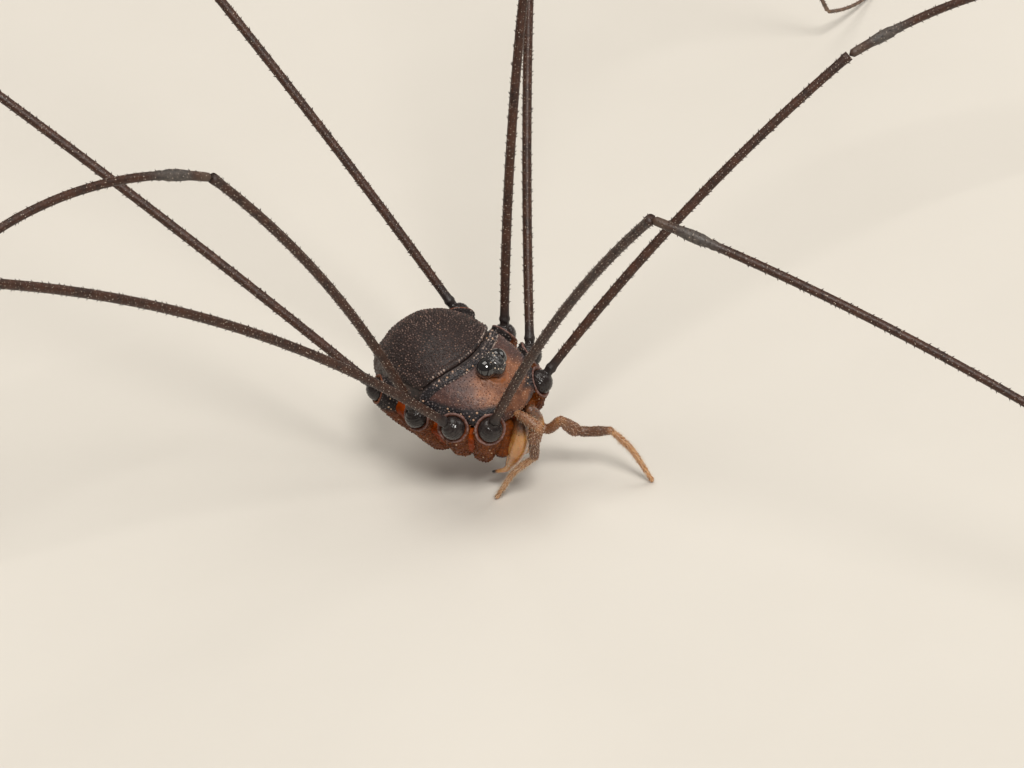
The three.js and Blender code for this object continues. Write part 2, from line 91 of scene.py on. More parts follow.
# Each hip: its socket, the low end of its column, and the radii of its ball, its rim and its low end.
HIPS = (
    ((2.55, 1.5, -0.12), (1.86, 1.12, -1.98), 0.47, 0.60, 0.40),
    ((1.46, 2.3, 0.0), (1.02, 1.3, -1.98), 0.45, 0.58, 0.42),
    ((0.0, 2.62, 0.0), (0.05, 1.42, -2.0), 0.44, 0.56, 0.46),
    ((-2.0, 2.42, 0.08), (-0.95, 1.3, -1.85), 0.44, 0.56, 0.48),
)
# From the first pair to the last: how far each column swells, how strongly painted shade darkens it towards
# its top, and how much darker it is all over, down to its low end.
HIP_SWELL = (0.01, 0.03, 0.07, 0.12)
HIP_TOP_SHADE = (0.25, 0.3, 0.45, 1.0)
HIP_DARK_ALL_OVER = (0, 0, 0, 0.35)
RIM_SHADE = (1, 1, 1, 0.35)

# Lengths of each leg's femur, patella, tibia, metatarsus and tarsus.
LEG_LENGTHS = (
    (16.6, 1.9, 14, 17, 19),
    (28, 2.4, 25, 30, 34),
    (15.6, 1.8, 13.5, 18, 17),
    (21, 2.1, 18, 23, 23),
)
LEG_SHADES = ("polish", "dark", "slate", "pale")
ANKLE_HEIGHT = 1.7
SHANK_BOW = 0.05
FOOT_FALL = 0.35

# The stance of each leg: the femur's heading and climb, the tibia's heading and climb, the metatarsus's
# heading and the tarsus's. Pairs are a start and an end, and headings turn from ahead to the leg's own side.
STANCE = {
    "left": (
        ((61, 57.3), (43, 30.1), (72, 66), (8, -30), 62, (60, 48)),
        ((122.9, 116.7), (51.7, 34.2), (110, 106), (12, -28), 104, (102, 84)),
        ((101, 100.3), (75.5, 61), (104, 102), (18, -36), 100, (98, 116)),
        ((181.1, 181.8), (51.6, 45.3), (172, 164), (14, -28), 160, (158, 140)),
    ),
    "right": (
        ((2.9, 10.9), (60.2, 45.1), (-16.8, -16.7), (-18.5, -30.7), -10, (-8, 10)),
        ((106.8, 102.2), (52.2, 25.2), (100, 96), (6, -24), 94, (92, 74)),
        ((101.3, 101.1), (73.3, 54.3), (110.4, 98.7), (30.7, -38), 100, (102, 122)),
        ((163.2, 162.5), (41.4, 37.1), (160, 156), (8, -26), 154, (152, 134)),
    ),
}

FEELERS = {
    "left": ((2.85, 0.8, -1.5), (3.24, 0.92, -1.72), (3.69, 1.2, -1.2), (4.08, 1.7, -1.96),
             (5.18, 2.3, -1.81)),
    "right": ((3.05, -0.5, 0.18), (3.6, -0.52, 0.14), (4.12, -0.5, -0.04), (3.9, -0.56, -0.4),
              (3.74, -0.5, -1.74)),
}
FEELER_TIPS = {"left": (6.72, 2.66), "right": (2.3, -1.12)}
FEELER_SLIMNESS = {"left": 0.82, "right": 0.90}
FEELER_BOW = 0.32
FEELER_TIP_HEIGHT = 0.085
LONGEST_HAIR = 0.21

# Each piece of a feeler: its radii, how dark and how tan it is, and the spacing of its hairs and granules.
FEELER_PIECES = {
    "femur": ((0.15, 0.20, 0.215, 0.225, 0.21, 0.15), 0.25, 0.15, 0.095, 0.070),
    "tibia": ((0.14, 0.235, 0.225, 0.185, 0.190, 0.13), 0.75, 0.0, 0.095, 0.075),
    "tarsus": ((0.10, 0.135, 0.120, 0.108, 0.098, 0.070), 0.0, 1.0, 0.060, 0.10),
}

PINCER_JOINTS = ((2.98, 0.25, -0.15), (3.1, 0.42, -0.85), (2.96, 0.46, -1.6), (2.62, 0.5, -2.65),
                 (2.36, 0.56, -3.14), (1.80, 0.73, -3.50))
PINCER_RADII = (0.18, 0.33, 0.38, 0.29, 0.12, 0.045)
LOBE_TOP = (2.54, 0.62, -0.58)
LOBE_FOOT = (2.38, 0.70, -1.95)
LOBE_RADIUS = 0.33

# The camera's axes and place against the midpoint of the third leg pair.
CAMERA_RIGHT = (0.6167, -0.7788, -0.1145)
CAMERA_UP = (0.5103, 0.2848, 0.8115)
CAMERA_BACK = (-0.5994, -0.5589, 0.5730)
CAMERA_DISTANCE = 170
CAMERA_OFFSET = (1.8889, -0.3333)
FOCAL_PIXELS = 4590
PICTURE_WIDTH = 1024
SENSOR_WIDTH = 36
NEAREST_SEEN = 0.001

# How many points the skins have along them and round them.
SHIELD_GRID = (110, 288)
HEAD_GRID = (120, 224)
BELLY_GRID = (130, 200)
CHEST_GRID = (70, 120)
SEAM_GRID = (120, 64)
MOUND_GRID = (60, 96)
EYE_GRID = (48, 72)
EYE_RIM_GRID = (97, 20)
PINCER_GRID = (110, 56)
LOBE_GRID = (60, 48)
HIP_SIDES = 96
FEELER_SIDES = 40

# Each row of beads: how far ahead of the furrow it is, its pitch, its bead's size, its seed and its slot.
BEAD_ROWS = {
    "rear": (-0.15, 0.115, 0.047, 221, "dorsal_shield"),
    "middle": (0.12, 0.115, 0.046, 223, "head_shield"),
    "front": (0.225, 0.105, 0.036, 225, "head_shield"),
    "head": (0.39, 0.115, 0.038, 227, "head_shield"),
}
BEAD_ROW_HALF = 1.75

# Each light: its place against the body and its width, both in metres, its power and its colour.
LIGHTS = {
    "key": ((-0.50, -0.85, 1.30), 0.42, 24, (1.0, 0.97, 0.92)),
    "fill": ((1.20, -0.60, 0.90), 0.90, 5, (1.0, 0.97, 0.93)),
    "top": ((0.10, 0.40, 1.80), 1.20, 14, (1.0, 0.96, 0.90)),
}
SKY_COLOUR = (1.0, 0.93, 0.84, 1)
SKY_STRENGTH = 0.22
FLOOR_REACH = 3.0

# A tuft's number of sides, and its rings from the root up: how high, how wide and how far round each is.
DOME = (6, ((-0.35, 1.0, 0.0), (0.62, 0.74, 0.5)))
SPIKE = (4, ((-0.15, 1.0, 0.0), (0.45, 0.62, 0.0)))
TUFT_PATCH = 0.003

SIDES = (("left", 1), ("right", -1))


# Where things are

def spot(place, side=1):
    """A place, or many, given as forward, left and up, mirrored to the right where side is -1."""
    place = np.asarray(place, float)
    return np.stack([place[..., 1] * side, -place[..., 0], place[..., 2]], -1)


def body_turn():
    pitch = Matrix.Rotation(math.radians(BODY_PITCH), 3, "X")
    roll = Matrix.Rotation(math.radians(-BODY_ROLL), 3, "Y")
    return np.array(pitch @ roll)


TURN = body_turn()


def body_middle():
    """The midpoint of the third leg pair, found from the two eyes."""
    corners = [np.array(corner) / MM for eye in ("eye_left", "eye_right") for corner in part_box(eye)]
    forward, _, up = EYE_CENTRE
    return np.mean(corners, 0) - TURN @ spot((forward, 0, up))


MIDDLE = body_middle()


def from_body(points):
    """Points on the body to the frame, in metres."""
    return (np.asarray(points) @ TURN.T + MIDDLE) * MM


def from_ground(points):
    """Points measured from the ground under the body's middle to the frame, in metres."""
    return (np.asarray(points) + MIDDLE * (1, 1, 0)) * MM


def to_ground(points):
    return np.asarray(points) @ TURN.T + (0, 0, MIDDLE[2])


# Materials

class Paint:
    """A material's nodes, built up step by step. Sizes of patterns are in millimetres."""

    def __init__(self, name):
        self.material = bpy.data.materials.new(name)
        self.material.use_nodes = True
        self.nodes = self.material.node_tree.nodes
        self.links = self.material.node_tree.links
        self.nodes.clear()
        self.shader = self.nodes.new("ShaderNodeBsdfPrincipled")
        output = self.nodes.new("ShaderNodeOutputMaterial")
        self.links.new(self.shader.outputs["BSDF"], output.inputs["Surface"])
        self.place = self.nodes.new("ShaderNodeTexCoord").outputs["Object"]

    def feed(self, socket, value):
        """Links a socket to another, or sets it to a colour or a number."""
        if isinstance(value, bpy.types.NodeSocket):
            self.links.new(value, socket)
        else:
            socket.default_value = (*value, 1) if isinstance(value, tuple) else value

    def pattern(self, kind, size):
        node = self.nodes.new(kind)
        node.inputs["Scale"].default_value = 1 / (size * MM)
        self.links.new(self.place, node.inputs["Vector"])
        return node

    def noise(self, size, detail=4, distortion=0.0):
        node = self.pattern("ShaderNodeTexNoise", size)
        node.inputs["Detail"].default_value = detail
        node.inputs["Roughness"].default_value = 0.6
        node.inputs["Distortion"].default_value = distortion
        return node.outputs["Fac"]

    def cells(self, size):
        """Rounded cells."""
        node = self.pattern("ShaderNodeTexVoronoi", size)
        node.feature = "SMOOTH_F1"
        node.inputs["Smoothness"].default_value = 0.6
        return node.outputs["Distance"]

    def shade(self, name):
        node = self.nodes.new("ShaderNodeAttribute")
        node.attribute_type = "GEOMETRY"
        node.attribute_name = name
        return node.outputs["Fac"]

    def ramp(self, factor, *stops):
        """Colours, or grey levels, that follow a factor."""
        node = self.nodes.new("ShaderNodeValToRGB")
        elements = node.color_ramp.elements
        while len(elements) > 1:
            elements.remove(elements[-1])
        for k, (place, colour) in enumerate(stops):
            element = elements[0] if k == 0 else elements.new(place)
            element.position = place
            element.color = (*colour, 1) if isinstance(colour, tuple) else (colour, colour, colour, 1)
        self.links.new(factor, node.inputs["Fac"])
        return node.outputs["Color"]

    def mottle(self, size, low, high, between=(0.3, 0.7), detail=4):
        """Patches of a size that drift from a low colour or grey level to a high one."""
        return self.ramp(self.noise(size, detail), (between[0], low), (between[1], high))

    def mask(self, name, low, high, level=1.0):
        """A grey level that rises from nought where a shade passes from low to high."""
        return self.ramp(self.shade(name), (low, 0.0), (high, level))

    def ragged(self, name, size, amount, low, high):
        """A mask with an edge broken up by patches of a size."""
        patches = self.maths("MULTIPLY", self.noise(size), amount)
        return self.ramp(self.maths("ADD", self.shade(name), patches), (low, 0.0), (high, 1.0))

    def tops(self, low, high, start=0.3):
        """Colours that follow the tint of each granule."""
        return self.ramp(self.shade("top"), (start, low), (1.0, high))

    def mix(self, factor, first, second, blend="MIX"):
        node = self.nodes.new("ShaderNodeMix")
        node.data_type = "RGBA"
        node.blend_type = blend
        for socket, value in zip((node.inputs[0], node.inputs[6], node.inputs[7]), (factor, first, second)):
            self.feed(socket, value)
        return node.outputs[2]

    def maths(self, operation, first, second):
        node = self.nodes.new("ShaderNodeMath")
        node.operation = operation
        self.feed(node.inputs[0], first)
        self.feed(node.inputs[1], second)
        return node.outputs[0]

    def bump(self, height, depth, after=None):
        """A bump whose heights reach a depth in millimetres, over another bump if there is one."""
        node = self.nodes.new("ShaderNodeBump")
        node.inputs["Strength"].default_value = 1.0
        node.inputs["Distance"].default_value = depth * MM
        self.links.new(height, node.inputs["Height"])
        if after is not None:
            self.links.new(after, node.inputs["Normal"])
        return node.outputs["Normal"]

    def finish(self, colour, rough, cells=None, grain=None, normal=None, **constants):
        """Feeds the shader. Roughness may be a size, a low and a high, and relief is a size and a depth."""
        if isinstance(rough, tuple):
            rough = self.mottle(*rough)
        if cells:
            normal = self.bump(self.cells(cells[0]), cells[1], normal)
        if grain:
            normal = self.bump(self.noise(grain[0], 2), grain[1], normal)
        for name, value in (("Base Color", colour), ("Roughness", rough), ("Normal", normal)):
            self.links.new(value, self.shader.inputs[name])
        for name, value in constants.items():
            self.shader.inputs[name.replace("_", " ").title().replace("Ior", "IOR")].default_value = value
        return self.material


# Fine relief of granules and of bare cuticle: its size and its depth.
GRANULE_GRAIN = (0.02, 0.004)
CUTICLE_GRAIN = (0.03, 0.006)


def plain_paint(name, colours, rough, grain, **constants):
    """One colour that drifts to another in patches of a size."""
    paint = Paint(name)
    return paint.finish(paint.mottle(*colours), rough, None, grain, **constants)


def shield_paint():
    """Brown-black, with warmer and greyer patches and a fine grain."""
    paint = Paint("shield_cuticle")
    patches = paint.mottle(0.9, (0.006, 0.004, 0.004), (0.018, 0.010, 0.009), (0.3, 0.6))
    fleck = paint.mottle(0.07, 0.0, 1.0, (0.4, 0.75), 3)
    colour = paint.mix(fleck, patches, (0.036, 0.022, 0.019))
    return paint.finish(colour, (0.2, 0.42, 0.62), (0.07, 0.02), CUTICLE_GRAIN, specular_ior_level=0.3)


def shield_granule_paint():
    """Dark granules with greyer tops, and a few that are pale tan or orange."""
    paint = Paint("shield_granules")
    colour = paint.ramp(paint.shade("top"), (0.10, (0.013, 0.007, 0.006)), (0.6, (0.075, 0.045, 0.037)),
                        (1.0, (0.160, 0.108, 0.090)))
    colour = paint.mix(paint.mask("pale", 0.988, 0.992, 0.7), colour, (0.40, 0.25, 0.15))
    colour = paint.mix(paint.mask("pale", 0.997, 0.998), colour, (0.55, 0.17, 0.04))
    colour = paint.mix(1.0, colour, paint.mottle(0.5, (0.7, 0.66, 0.68), (1.15, 1.02, 0.95)), "MULTIPLY")
    return paint.finish(colour, (0.1, 0.36, 0.55), None, GRANULE_GRAIN, specular_ior_level=0.45)


def head_paint():
    """Rust-brown in the middle, purple-brown to the sides and blue-black at the margins."""
    paint = Paint("head_cuticle")
    rust = paint.mottle(0.35, (0.12, 0.040, 0.018), (0.27, 0.108, 0.050))
    plum = paint.mottle(0.2, (0.032, 0.015, 0.015), (0.100, 0.046, 0.036))
    colour = paint.mix(paint.ragged("middle", 0.35, 0.6, 0.35, 1.0), plum, rust)
    colour = paint.mix(paint.ragged("margin", 0.15, 0.4, 0.35, 0.85), colour, (0.015, 0.012, 0.014))
    glow = paint.maths("MULTIPLY", paint.shade("glow"), paint.mottle(0.15, 0.4, 1.7, (0.35, 0.65)))
    colour = paint.mix(paint.ramp(glow, (0.45, 0.0), (0.95, 0.8)), colour, (0.30, 0.085, 0.016))
    return paint.finish(colour, (0.12, 0.38, 0.6), (0.06, 0.012), (0.025, 0.006), specular_ior_level=0.45)


def head_granule_paint():
    paint = Paint("head_granules")
    dark = paint.tops((0.014, 0.012, 0.015), (0.120, 0.090, 0.085))
    brown = paint.tops((0.10, 0.034, 0.016), (0.40, 0.215, 0.130))
    plum = paint.tops((0.034, 0.018, 0.018), (0.210, 0.130, 0.110))
    colour = paint.mix(paint.mask("middle", 0.25, 0.6), plum, brown)
    colour = paint.mix(paint.mask("margin", 0.2, 0.6), colour, dark)
    colour = paint.mix(paint.mask("pale", 0.95, 0.955), colour, (0.42, 0.26, 0.17))
    return paint.finish(colour, (0.1, 0.32, 0.52), None, GRANULE_GRAIN, specular_ior_level=0.45)


def bead_paint():
    """Black beads with pale tips."""
    paint = Paint("furrow_beads")
    colour = paint.ramp(paint.shade("top"), (0.5, (0.014, 0.011, 0.012)), (0.72, (0.09, 0.066, 0.058)),
                        (1.0, (0.42, 0.32, 0.27)))
    return paint.finish(colour, (0.05, 0.25, 0.45), None, GRANULE_GRAIN, specular_ior_level=0.5)


def belly_paint():
    """Black-brown leathery skin, warmer underneath."""
    paint = Paint("belly_cuticle")
    colour = paint.mottle(0.5, (0.012, 0.010, 0.011), (0.060, 0.038, 0.030), (0.3, 0.75))
    warm = paint.mottle(0.4, (0.16, 0.060, 0.025), (0.30, 0.13, 0.055))
    colour = paint.mix(paint.shade("under"), colour, warm)
    return paint.finish(colour, (0.2, 0.38, 0.6), (0.12, 0.02), CUTICLE_GRAIN, specular_ior_level=0.45)


def seam_paint():
    """The soft orange skin between the hips."""
    paint = Paint("seam_skin")
    colour = paint.mottle(0.4, (0.11, 0.013, 0.0002), (0.33, 0.050, 0.0005))
    colour = paint.mix(paint.mottle(0.1, 0.0, 0.7, (0.5, 0.75)), colour, (0.09, 0.015, 0.001))
    wrinkles = paint.bump(paint.noise(0.12, 4, 0.8), 0.03)
    return paint.finish(colour, (0.15, 0.30, 0.48), normal=wrinkles, specular_ior_level=0.05)


def hip_paint():
    """Orange-brown columns with painted shade near the top of the hind ones and on sides facing the body, and
    a pale lilac rim round the socket.
    """
    paint = Paint("hip_cuticle")
    warm = paint.mottle(0.4, (0.075, 0.015, 0.001), (0.22, 0.050, 0.004), (0.28, 0.7))
    colour = paint.mix(paint.mottle(0.11, 0.0, 0.75, (0.42, 0.7)), warm, (0.070, 0.020, 0.006))
    # Near-black from one mask: painted shade near the sockets and on sides facing the body, and a darker tone
    # where a piece is darker all over.
    colour = paint.mix(paint.ragged("soot", 0.2, 0.4, 0.5, 0.95), colour, (0.022, 0.018, 0.018))
    lilac = paint.mottle(0.1, (0.085, 0.036, 0.026), (0.26, 0.165, 0.150), (0.35, 0.7))
    colour = paint.mix(paint.shade("rim"), colour, lilac)
    colour = paint.mix(paint.shade("cup"), colour, (0.30, 0.06, 0.015))
    return paint.finish(colour, (0.12, 0.34, 0.55), (0.1, 0.025), CUTICLE_GRAIN, specular_ior_level=0.12)


def hip_granule_paint():
    paint = Paint("hip_granules")
    warm = paint.tops((0.075, 0.017, 0.002), (0.23, 0.080, 0.020), 0.2)
    dark = paint.tops((0.024, 0.020, 0.020), (0.16, 0.13, 0.12), 0.2)
    # Granules go dark where the same mask carries painted shade or a darker tone.
    colour = paint.mix(paint.mask("soot", 0.3, 0.8), warm, dark)
    colour = paint.mix(paint.mask("pale", 0.96, 0.965), colour, (0.50, 0.34, 0.22))
    return paint.finish(colour, (0.1, 0.30, 0.50), None, GRANULE_GRAIN, specular_ior_level=0.2)


def mound_paint():
    paint = Paint("mound_cuticle")
    colour = paint.mottle(0.15, (0.004, 0.004, 0.005), (0.030, 0.026, 0.026), (0.3, 0.75))
    return paint.finish(colour, (0.08, 0.16, 0.34), (0.06, 0.012), coat_weight=0.5, coat_roughness=0.08)


def mound_granule_paint():
    paint = Paint("mound_granules")
    colour = paint.tops((0.014, 0.012, 0.013), (0.15, 0.12, 0.11))
    colour = paint.mix(paint.mask("pale", 0.62, 0.68), colour, (0.52, 0.42, 0.33))
    return paint.finish(colour, (0.05, 0.2, 0.36), None, (0.02, 0.003), specular_ior_level=0.6)


def leg_paint():
    """Dark brown with reddish streaks, glossy black on the ball, a painted grey sheen at the knee and pale at
    rings.
    """
    paint = Paint("leg_cuticle")
    brown = paint.mottle(0.5, (0.014, 0.0065, 0.0045), (0.055, 0.020, 0.010))
    colour = paint.mix(paint.mottle(0.09, 0.0, 0.6, (0.45, 0.75)), brown, (0.080, 0.034, 0.021))
    colour = paint.mix(paint.shade("pale"), colour, (0.33, 0.22, 0.15))
    dark = paint.mottle(0.12, (0.006, 0.006, 0.007), (0.030, 0.025, 0.024))
    colour = paint.mix(paint.shade("dark"), colour, dark)
    # Painted sheen: a grey laid over the black of the knee.
    slate = paint.mottle(0.15, (0.036, 0.034, 0.034), (0.105, 0.090, 0.078))
    colour = paint.mix(paint.shade("slate"), colour, slate)
    rough = paint.mix(paint.shade("polish"), paint.mottle(0.12, 0.36, 0.56), (0.14, 0.14, 0.14))
    return paint.finish(colour, rough, (0.07, 0.010), (0.03, 0.003), specular_ior_level=0.35)


def feeler_paint():
    """Tan-brown, darker in the middle pieces and orange-tan at the joints and towards the tips."""
    paint = Paint("feeler_cuticle")
    brown = paint.mottle(0.25, (0.115, 0.050, 0.027), (0.27, 0.132, 0.075))
    dark = paint.mottle(0.15, (0.038, 0.016, 0.009), (0.125, 0.054, 0.028))
    tan = paint.mottle(0.2, (0.38, 0.165, 0.054), (0.62, 0.330, 0.135))
    colour = paint.mix(paint.shade("dark"), brown, dark)
    colour = paint.mix(paint.shade("tan"), colour, tan)
    colour = paint.mix(paint.mottle(0.06, 0.0, 0.5, (0.5, 0.75)), colour, (0.10, 0.045, 0.025))
    return paint.finish(colour, (0.1, 0.34, 0.52), (0.06, 0.010), (0.03, 0.004),
                        subsurface_weight=0.1, subsurface_scale=0.15 * MM)


def pincer_paint():
    """Amber and a little see-through, darker at the root and black at the claw's tip."""
    paint = Paint("pincer_amber")
    amber = paint.mottle(0.5, (0.40, 0.170, 0.038), (0.58, 0.290, 0.092))
    base = paint.mottle(0.12, (0.050, 0.017, 0.007), (0.18, 0.070, 0.026), (0.35, 0.7))
    colour = paint.mix(paint.shade("root"), amber, base)
    colour = paint.mix(paint.shade("tip"), colour, (0.010, 0.008, 0.008))
    rough = paint.mix(paint.shade("root"), paint.mottle(0.2, 0.18, 0.30), (0.5, 0.5, 0.5))
    dents = paint.bump(paint.noise(0.2, 3), 0.02)
    return paint.finish(colour, rough, (0.07, 0.012), None, dents, subsurface_weight=0.35,
                        subsurface_scale=0.4 * MM, coat_weight=0.8, coat_roughness=0.07)


def floor_paint():
    paint = Paint("floor_plain")
    colour = paint.mottle(30, (0.60, 0.57, 0.52), (0.63, 0.60, 0.55))
    return paint.finish(colour, (12, 0.6, 0.7), normal=paint.bump(paint.noise(0.8), 0.01))


PAINTS = {
    "shield": shield_paint(),
    "shield_granule": shield_granule_paint(),
    "head": head_paint(),
    "head_granule": head_granule_paint(),
    "bead": bead_paint(),
    "belly": belly_paint(),
    "seam": seam_paint(),
    "hip": hip_paint(),
    "hip_granule": hip_granule_paint(),
    "mound": mound_paint(),
    "mound_granule": mound_granule_paint(),
    "eye": plain_paint("eye_lens", (0.2, (0.0015, 0.0015, 0.002), (0.008, 0.007, 0.008), (0.3, 0.8)),
                       (0.15, 0.03, 0.07), (0.25, 0.002), ior=1.55, coat_weight=1.0, coat_roughness=0.02),
    "leg": leg_paint(),
    "spine": plain_paint("leg_spines", (0.3, (0.012, 0.007, 0.006), (0.070, 0.035, 0.025)),
                         (0.2, 0.30, 0.45), (0.03, 0.002), specular_ior_level=0.5),
    # Pale colour for the legs' tiny bumps: painted glints.
    "speck_glint": plain_paint("leg_speck_glints", (0.4, (0.30, 0.22, 0.16), (0.66, 0.57, 0.48)),
                         (0.2, 0.35, 0.55), (0.03, 0.003)),
    "feeler": feeler_paint(),
    "feeler_hair": plain_paint("feeler_hairs", (0.3, (0.50, 0.33, 0.20), (0.85, 0.72, 0.56)),
                               (0.2, 0.35, 0.5), (0.03, 0.002)),
    "pincer": pincer_paint(),
}


# Curves and numbers

def unit(vectors):
    return vectors / np.maximum(np.linalg.norm(vectors, axis=-1, keepdims=True), 1e-12)


def turns(count):
    """Angles evenly spread round a full turn."""
    return np.arange(count) / count * 2 * math.pi


def crowded(low, high, count, inset=0.0):
    """Values from low to high, closer together towards both ends."""
    return (low + high) / 2 - (high - low) / 2 * np.cos(np.linspace(inset, math.pi - inset, count))


def bulge(stations, place, width, height):
    return height * np.exp(-((stations - place) / width) ** 2)


def smooth_step(low, high, value):
    share = np.clip((value - low) / (high - low), 0, 1)
    return share * share * (3 - 2 * share)


def ripples(points, size, seed, octaves=3):
    """Smooth unevenness over points, about -1 to 1, from a few crossed waves of a size."""
    rng = np.random.default_rng(seed)
    total = np.zeros(points.shape[:-1])
    for octave in range(octaves):
        for _ in range(4):
            wave = unit(rng.normal(size=3)) * 2 * math.pi / (size / 1.9 ** octave)
            total += np.sin(points @ wave + rng.random() * 7) / 1.7 ** octave
    return total / 5


def lengths_along(path):
    return np.concatenate([[0], np.cumsum(np.linalg.norm(np.diff(path, axis=0), axis=1))])


def at_lengths(path, lengths):
    """Points at given lengths along a path, carried straight on beyond its ends."""
    measured = lengths_along(path)
    inside = np.clip(lengths, 0, measured[-1])
    points = np.stack([np.interp(inside, measured, path[:, k]) for k in range(3)], -1)
    start = unit(path[1] - path[0])
    end = unit(path[-1] - path[-2])
    before = np.minimum(lengths, 0)[:, None]
    beyond = np.maximum(np.asarray(lengths) - measured[-1], 0)[:, None]
    return points + start * before + end * beyond


def curve_through(joints, count):
    """A smooth path through joints, with points evenly spaced along it."""
    joints = np.asarray(joints, float)
    padded = np.vstack([2 * joints[0] - joints[1], joints, 2 * joints[-1] - joints[-2]])
    pieces = []
    for a, b, c, d in zip(padded, padded[1:], padded[2:], padded[3:]):
        steps = [max(np.linalg.norm(q - p), TINY) ** 0.5 for p, q in ((a, b), (b, c), (c, d))]
        knots = np.cumsum([0] + steps)
        t = np.linspace(knots[1], knots[2], 40, endpoint=False)[:, None]
        first = (knots[1] - t) / knots[1] * a + t / knots[1] * b
        second = ((knots[2] - t) * b + (t - knots[1]) * c) / (knots[2] - knots[1])
        third = ((knots[3] - t) * c + (t - knots[2]) * d) / (knots[3] - knots[2])
        left = ((knots[2] - t) * first + t * second) / knots[2]
        right = ((knots[3] - t) * second + (t - knots[1]) * third) / (knots[3] - knots[1])
        pieces.append(((knots[2] - t) * left + (t - knots[1]) * right) / (knots[2] - knots[1]))
    path = np.vstack(pieces + [joints[-1:]])
    return at_lengths(path, np.linspace(0, lengths_along(path)[-1], count))


def swept(path, radii, sides, reference=(0, 0, 1), directions=None):
    """Rings of points around a path, each square to the path or to its own direction."""
    along = unit(np.gradient(path, axis=0) if directions is None else directions)
    across = unit(np.cross(reference, along))
    lift = np.cross(along, across)
    turn = turns(sides)[:, None]
    ring = across[:, None] * np.cos(turn) + lift[:, None] * np.sin(turn)
    return path[:, None] + ring * np.asarray(radii)[:, None, None]


# Meshes

class Skin:
    """A grid of points that closes around its columns, with named shades at each point."""

    def __init__(self, points, place):
        self.points = np.asarray(points, float)
        self.place = place
        self.shades = {}

    def shaded(self, **shades):
        """Adds shades, each one level, a level for each row or a level for each point."""
        for name, levels in shades.items():
            levels = np.asarray(levels, float)
            levels = levels[:, None] if levels.ndim == 1 else levels
            self.shades[name] = np.broadcast_to(levels, self.points.shape[:2])
        return self

    def normals(self):
        around = np.roll(self.points, -1, 1) - np.roll(self.points, 1, 1)
        along = np.gradient(self.points, axis=0)
        return unit(np.cross(around, along))

    def push(self, heights):
        """Moves the skin outwards by a height at each point."""
        self.points = self.points + self.normals() * np.asarray(heights)[..., None]
        return self

    def faces(self):
        rows, columns = self.points.shape[:2]
        r, c = np.meshgrid(np.arange(rows - 1), np.arange(columns), indexing="ij")
        n = (c + 1) % columns
        quads = np.stack([r * columns + c, r * columns + n, (r + 1) * columns + n, (r + 1) * columns + c], -1)
        u = np.stack([c, c + 1, c + 1, c], -1) / columns
        v = np.stack([r, r, r + 1, r + 1], -1) / (rows - 1)
        return quads.reshape(-1, 4), np.stack([u, v], -1).reshape(-1, 2)

    def roots_at(self, row, down, column, across, shades=()):
        """Roots at shares down and across the cells of the grid."""
        rows, columns = self.points.shape[:2]
        following = (column + 1) % columns

        def blended(grid):
            a, b = down[:, None], across[:, None]
            low = grid[row, column] * (1 - b) + grid[row, following] * b
            high = grid[row + 1, column] * (1 - b) + grid[row + 1, following] * b
            return low * (1 - a) + high * a

        roots = {
            "points": blended(self.points),
            "normals": unit(blended(self.normals())),
            "along": unit(blended(np.gradient(self.points, axis=0))),
            "uv": np.stack([(column + across) / columns, (row + down) / (rows - 1)], -1),
        }
        return roots | {name: blended(self.shades[name][..., None])[:, 0] for name in shades}

    def scatter(self, spacing, seed, keep=None):
        """Roots spread over the skin, no two closer than the spacing."""
        rng = np.random.default_rng(seed)
        p = self.points
        right = np.roll(p, -1, 1)
        area = np.linalg.norm(np.cross(right[:-1] - p[:-1], p[1:] - p[:-1]), axis=-1)
        share = area.ravel() / area.sum()
        count = int(5 * area.sum() / spacing ** 2)
        cell = rng.choice(share.size, count, p=share)
        row, column = np.divmod(cell, p.shape[1])
        down, across = rng.random(count), rng.random(count)
        roots = self.roots_at(row, down, column, across, self.shades)
        if keep is not None:
            roots = chosen(roots, keep(roots))
        return chosen(roots, spread(roots["points"], spacing))

    def in_rows(self, start, end, pitch, rows, seed, wander=0.3):
        """Roots in lengthwise rows on a tube, with a little wander."""
        rng = np.random.default_rng(seed)
        grid_rows, columns = self.points.shape[:2]
        measured = lengths_along(self.points.mean(1))
        picks = []
        for row in range(rows):
            place = np.arange(start + rng.random() * pitch, end, pitch)
            place = place + rng.normal(size=len(place)) * pitch * wander
            place = place[(place > start) & (place < end)]
            column = (row + rng.normal(size=len(place)) * 0.16) / rows * columns
            picks.append(np.stack([np.interp(place, measured, np.arange(grid_rows)), column % columns], -1))
        down, across = np.concatenate(picks).T
        row, column = np.minimum(down.astype(int), grid_rows - 2), across.astype(int)
        return self.roots_at(row, down - row, column % columns, across - column)


def chosen(roots, which):
    return {name: values[which] for name, values in roots.items()}


def joined(groups):
    """Several groups of roots as one, each in its own strip of the unwrap."""
    for k, group in enumerate(groups):
        group["uv"] = (group["uv"] + (k, 0)) / (len(groups), 1)
    return {name: np.concatenate([group[name] for group in groups]) for name in groups[0]}


def spread(points, spacing):
    """The points to keep so that no two are closer than the spacing."""
    cells = {}
    kept = []
    near = [(i, j, k) for i in (-1, 0, 1) for j in (-1, 0, 1) for k in (-1, 0, 1)]
    for index, ((x, y, z), point) in enumerate(zip(np.floor(points / spacing).astype(int).tolist(), points)):
        others = [cells[found] for i, j, k in near if (found := (x + i, y + j, z + k)) in cells]
        if all(((point - other) ** 2).sum() >= spacing ** 2 for other in others):
            cells[x, y, z] = point
            kept.append(index)
    return np.array(kept, int)


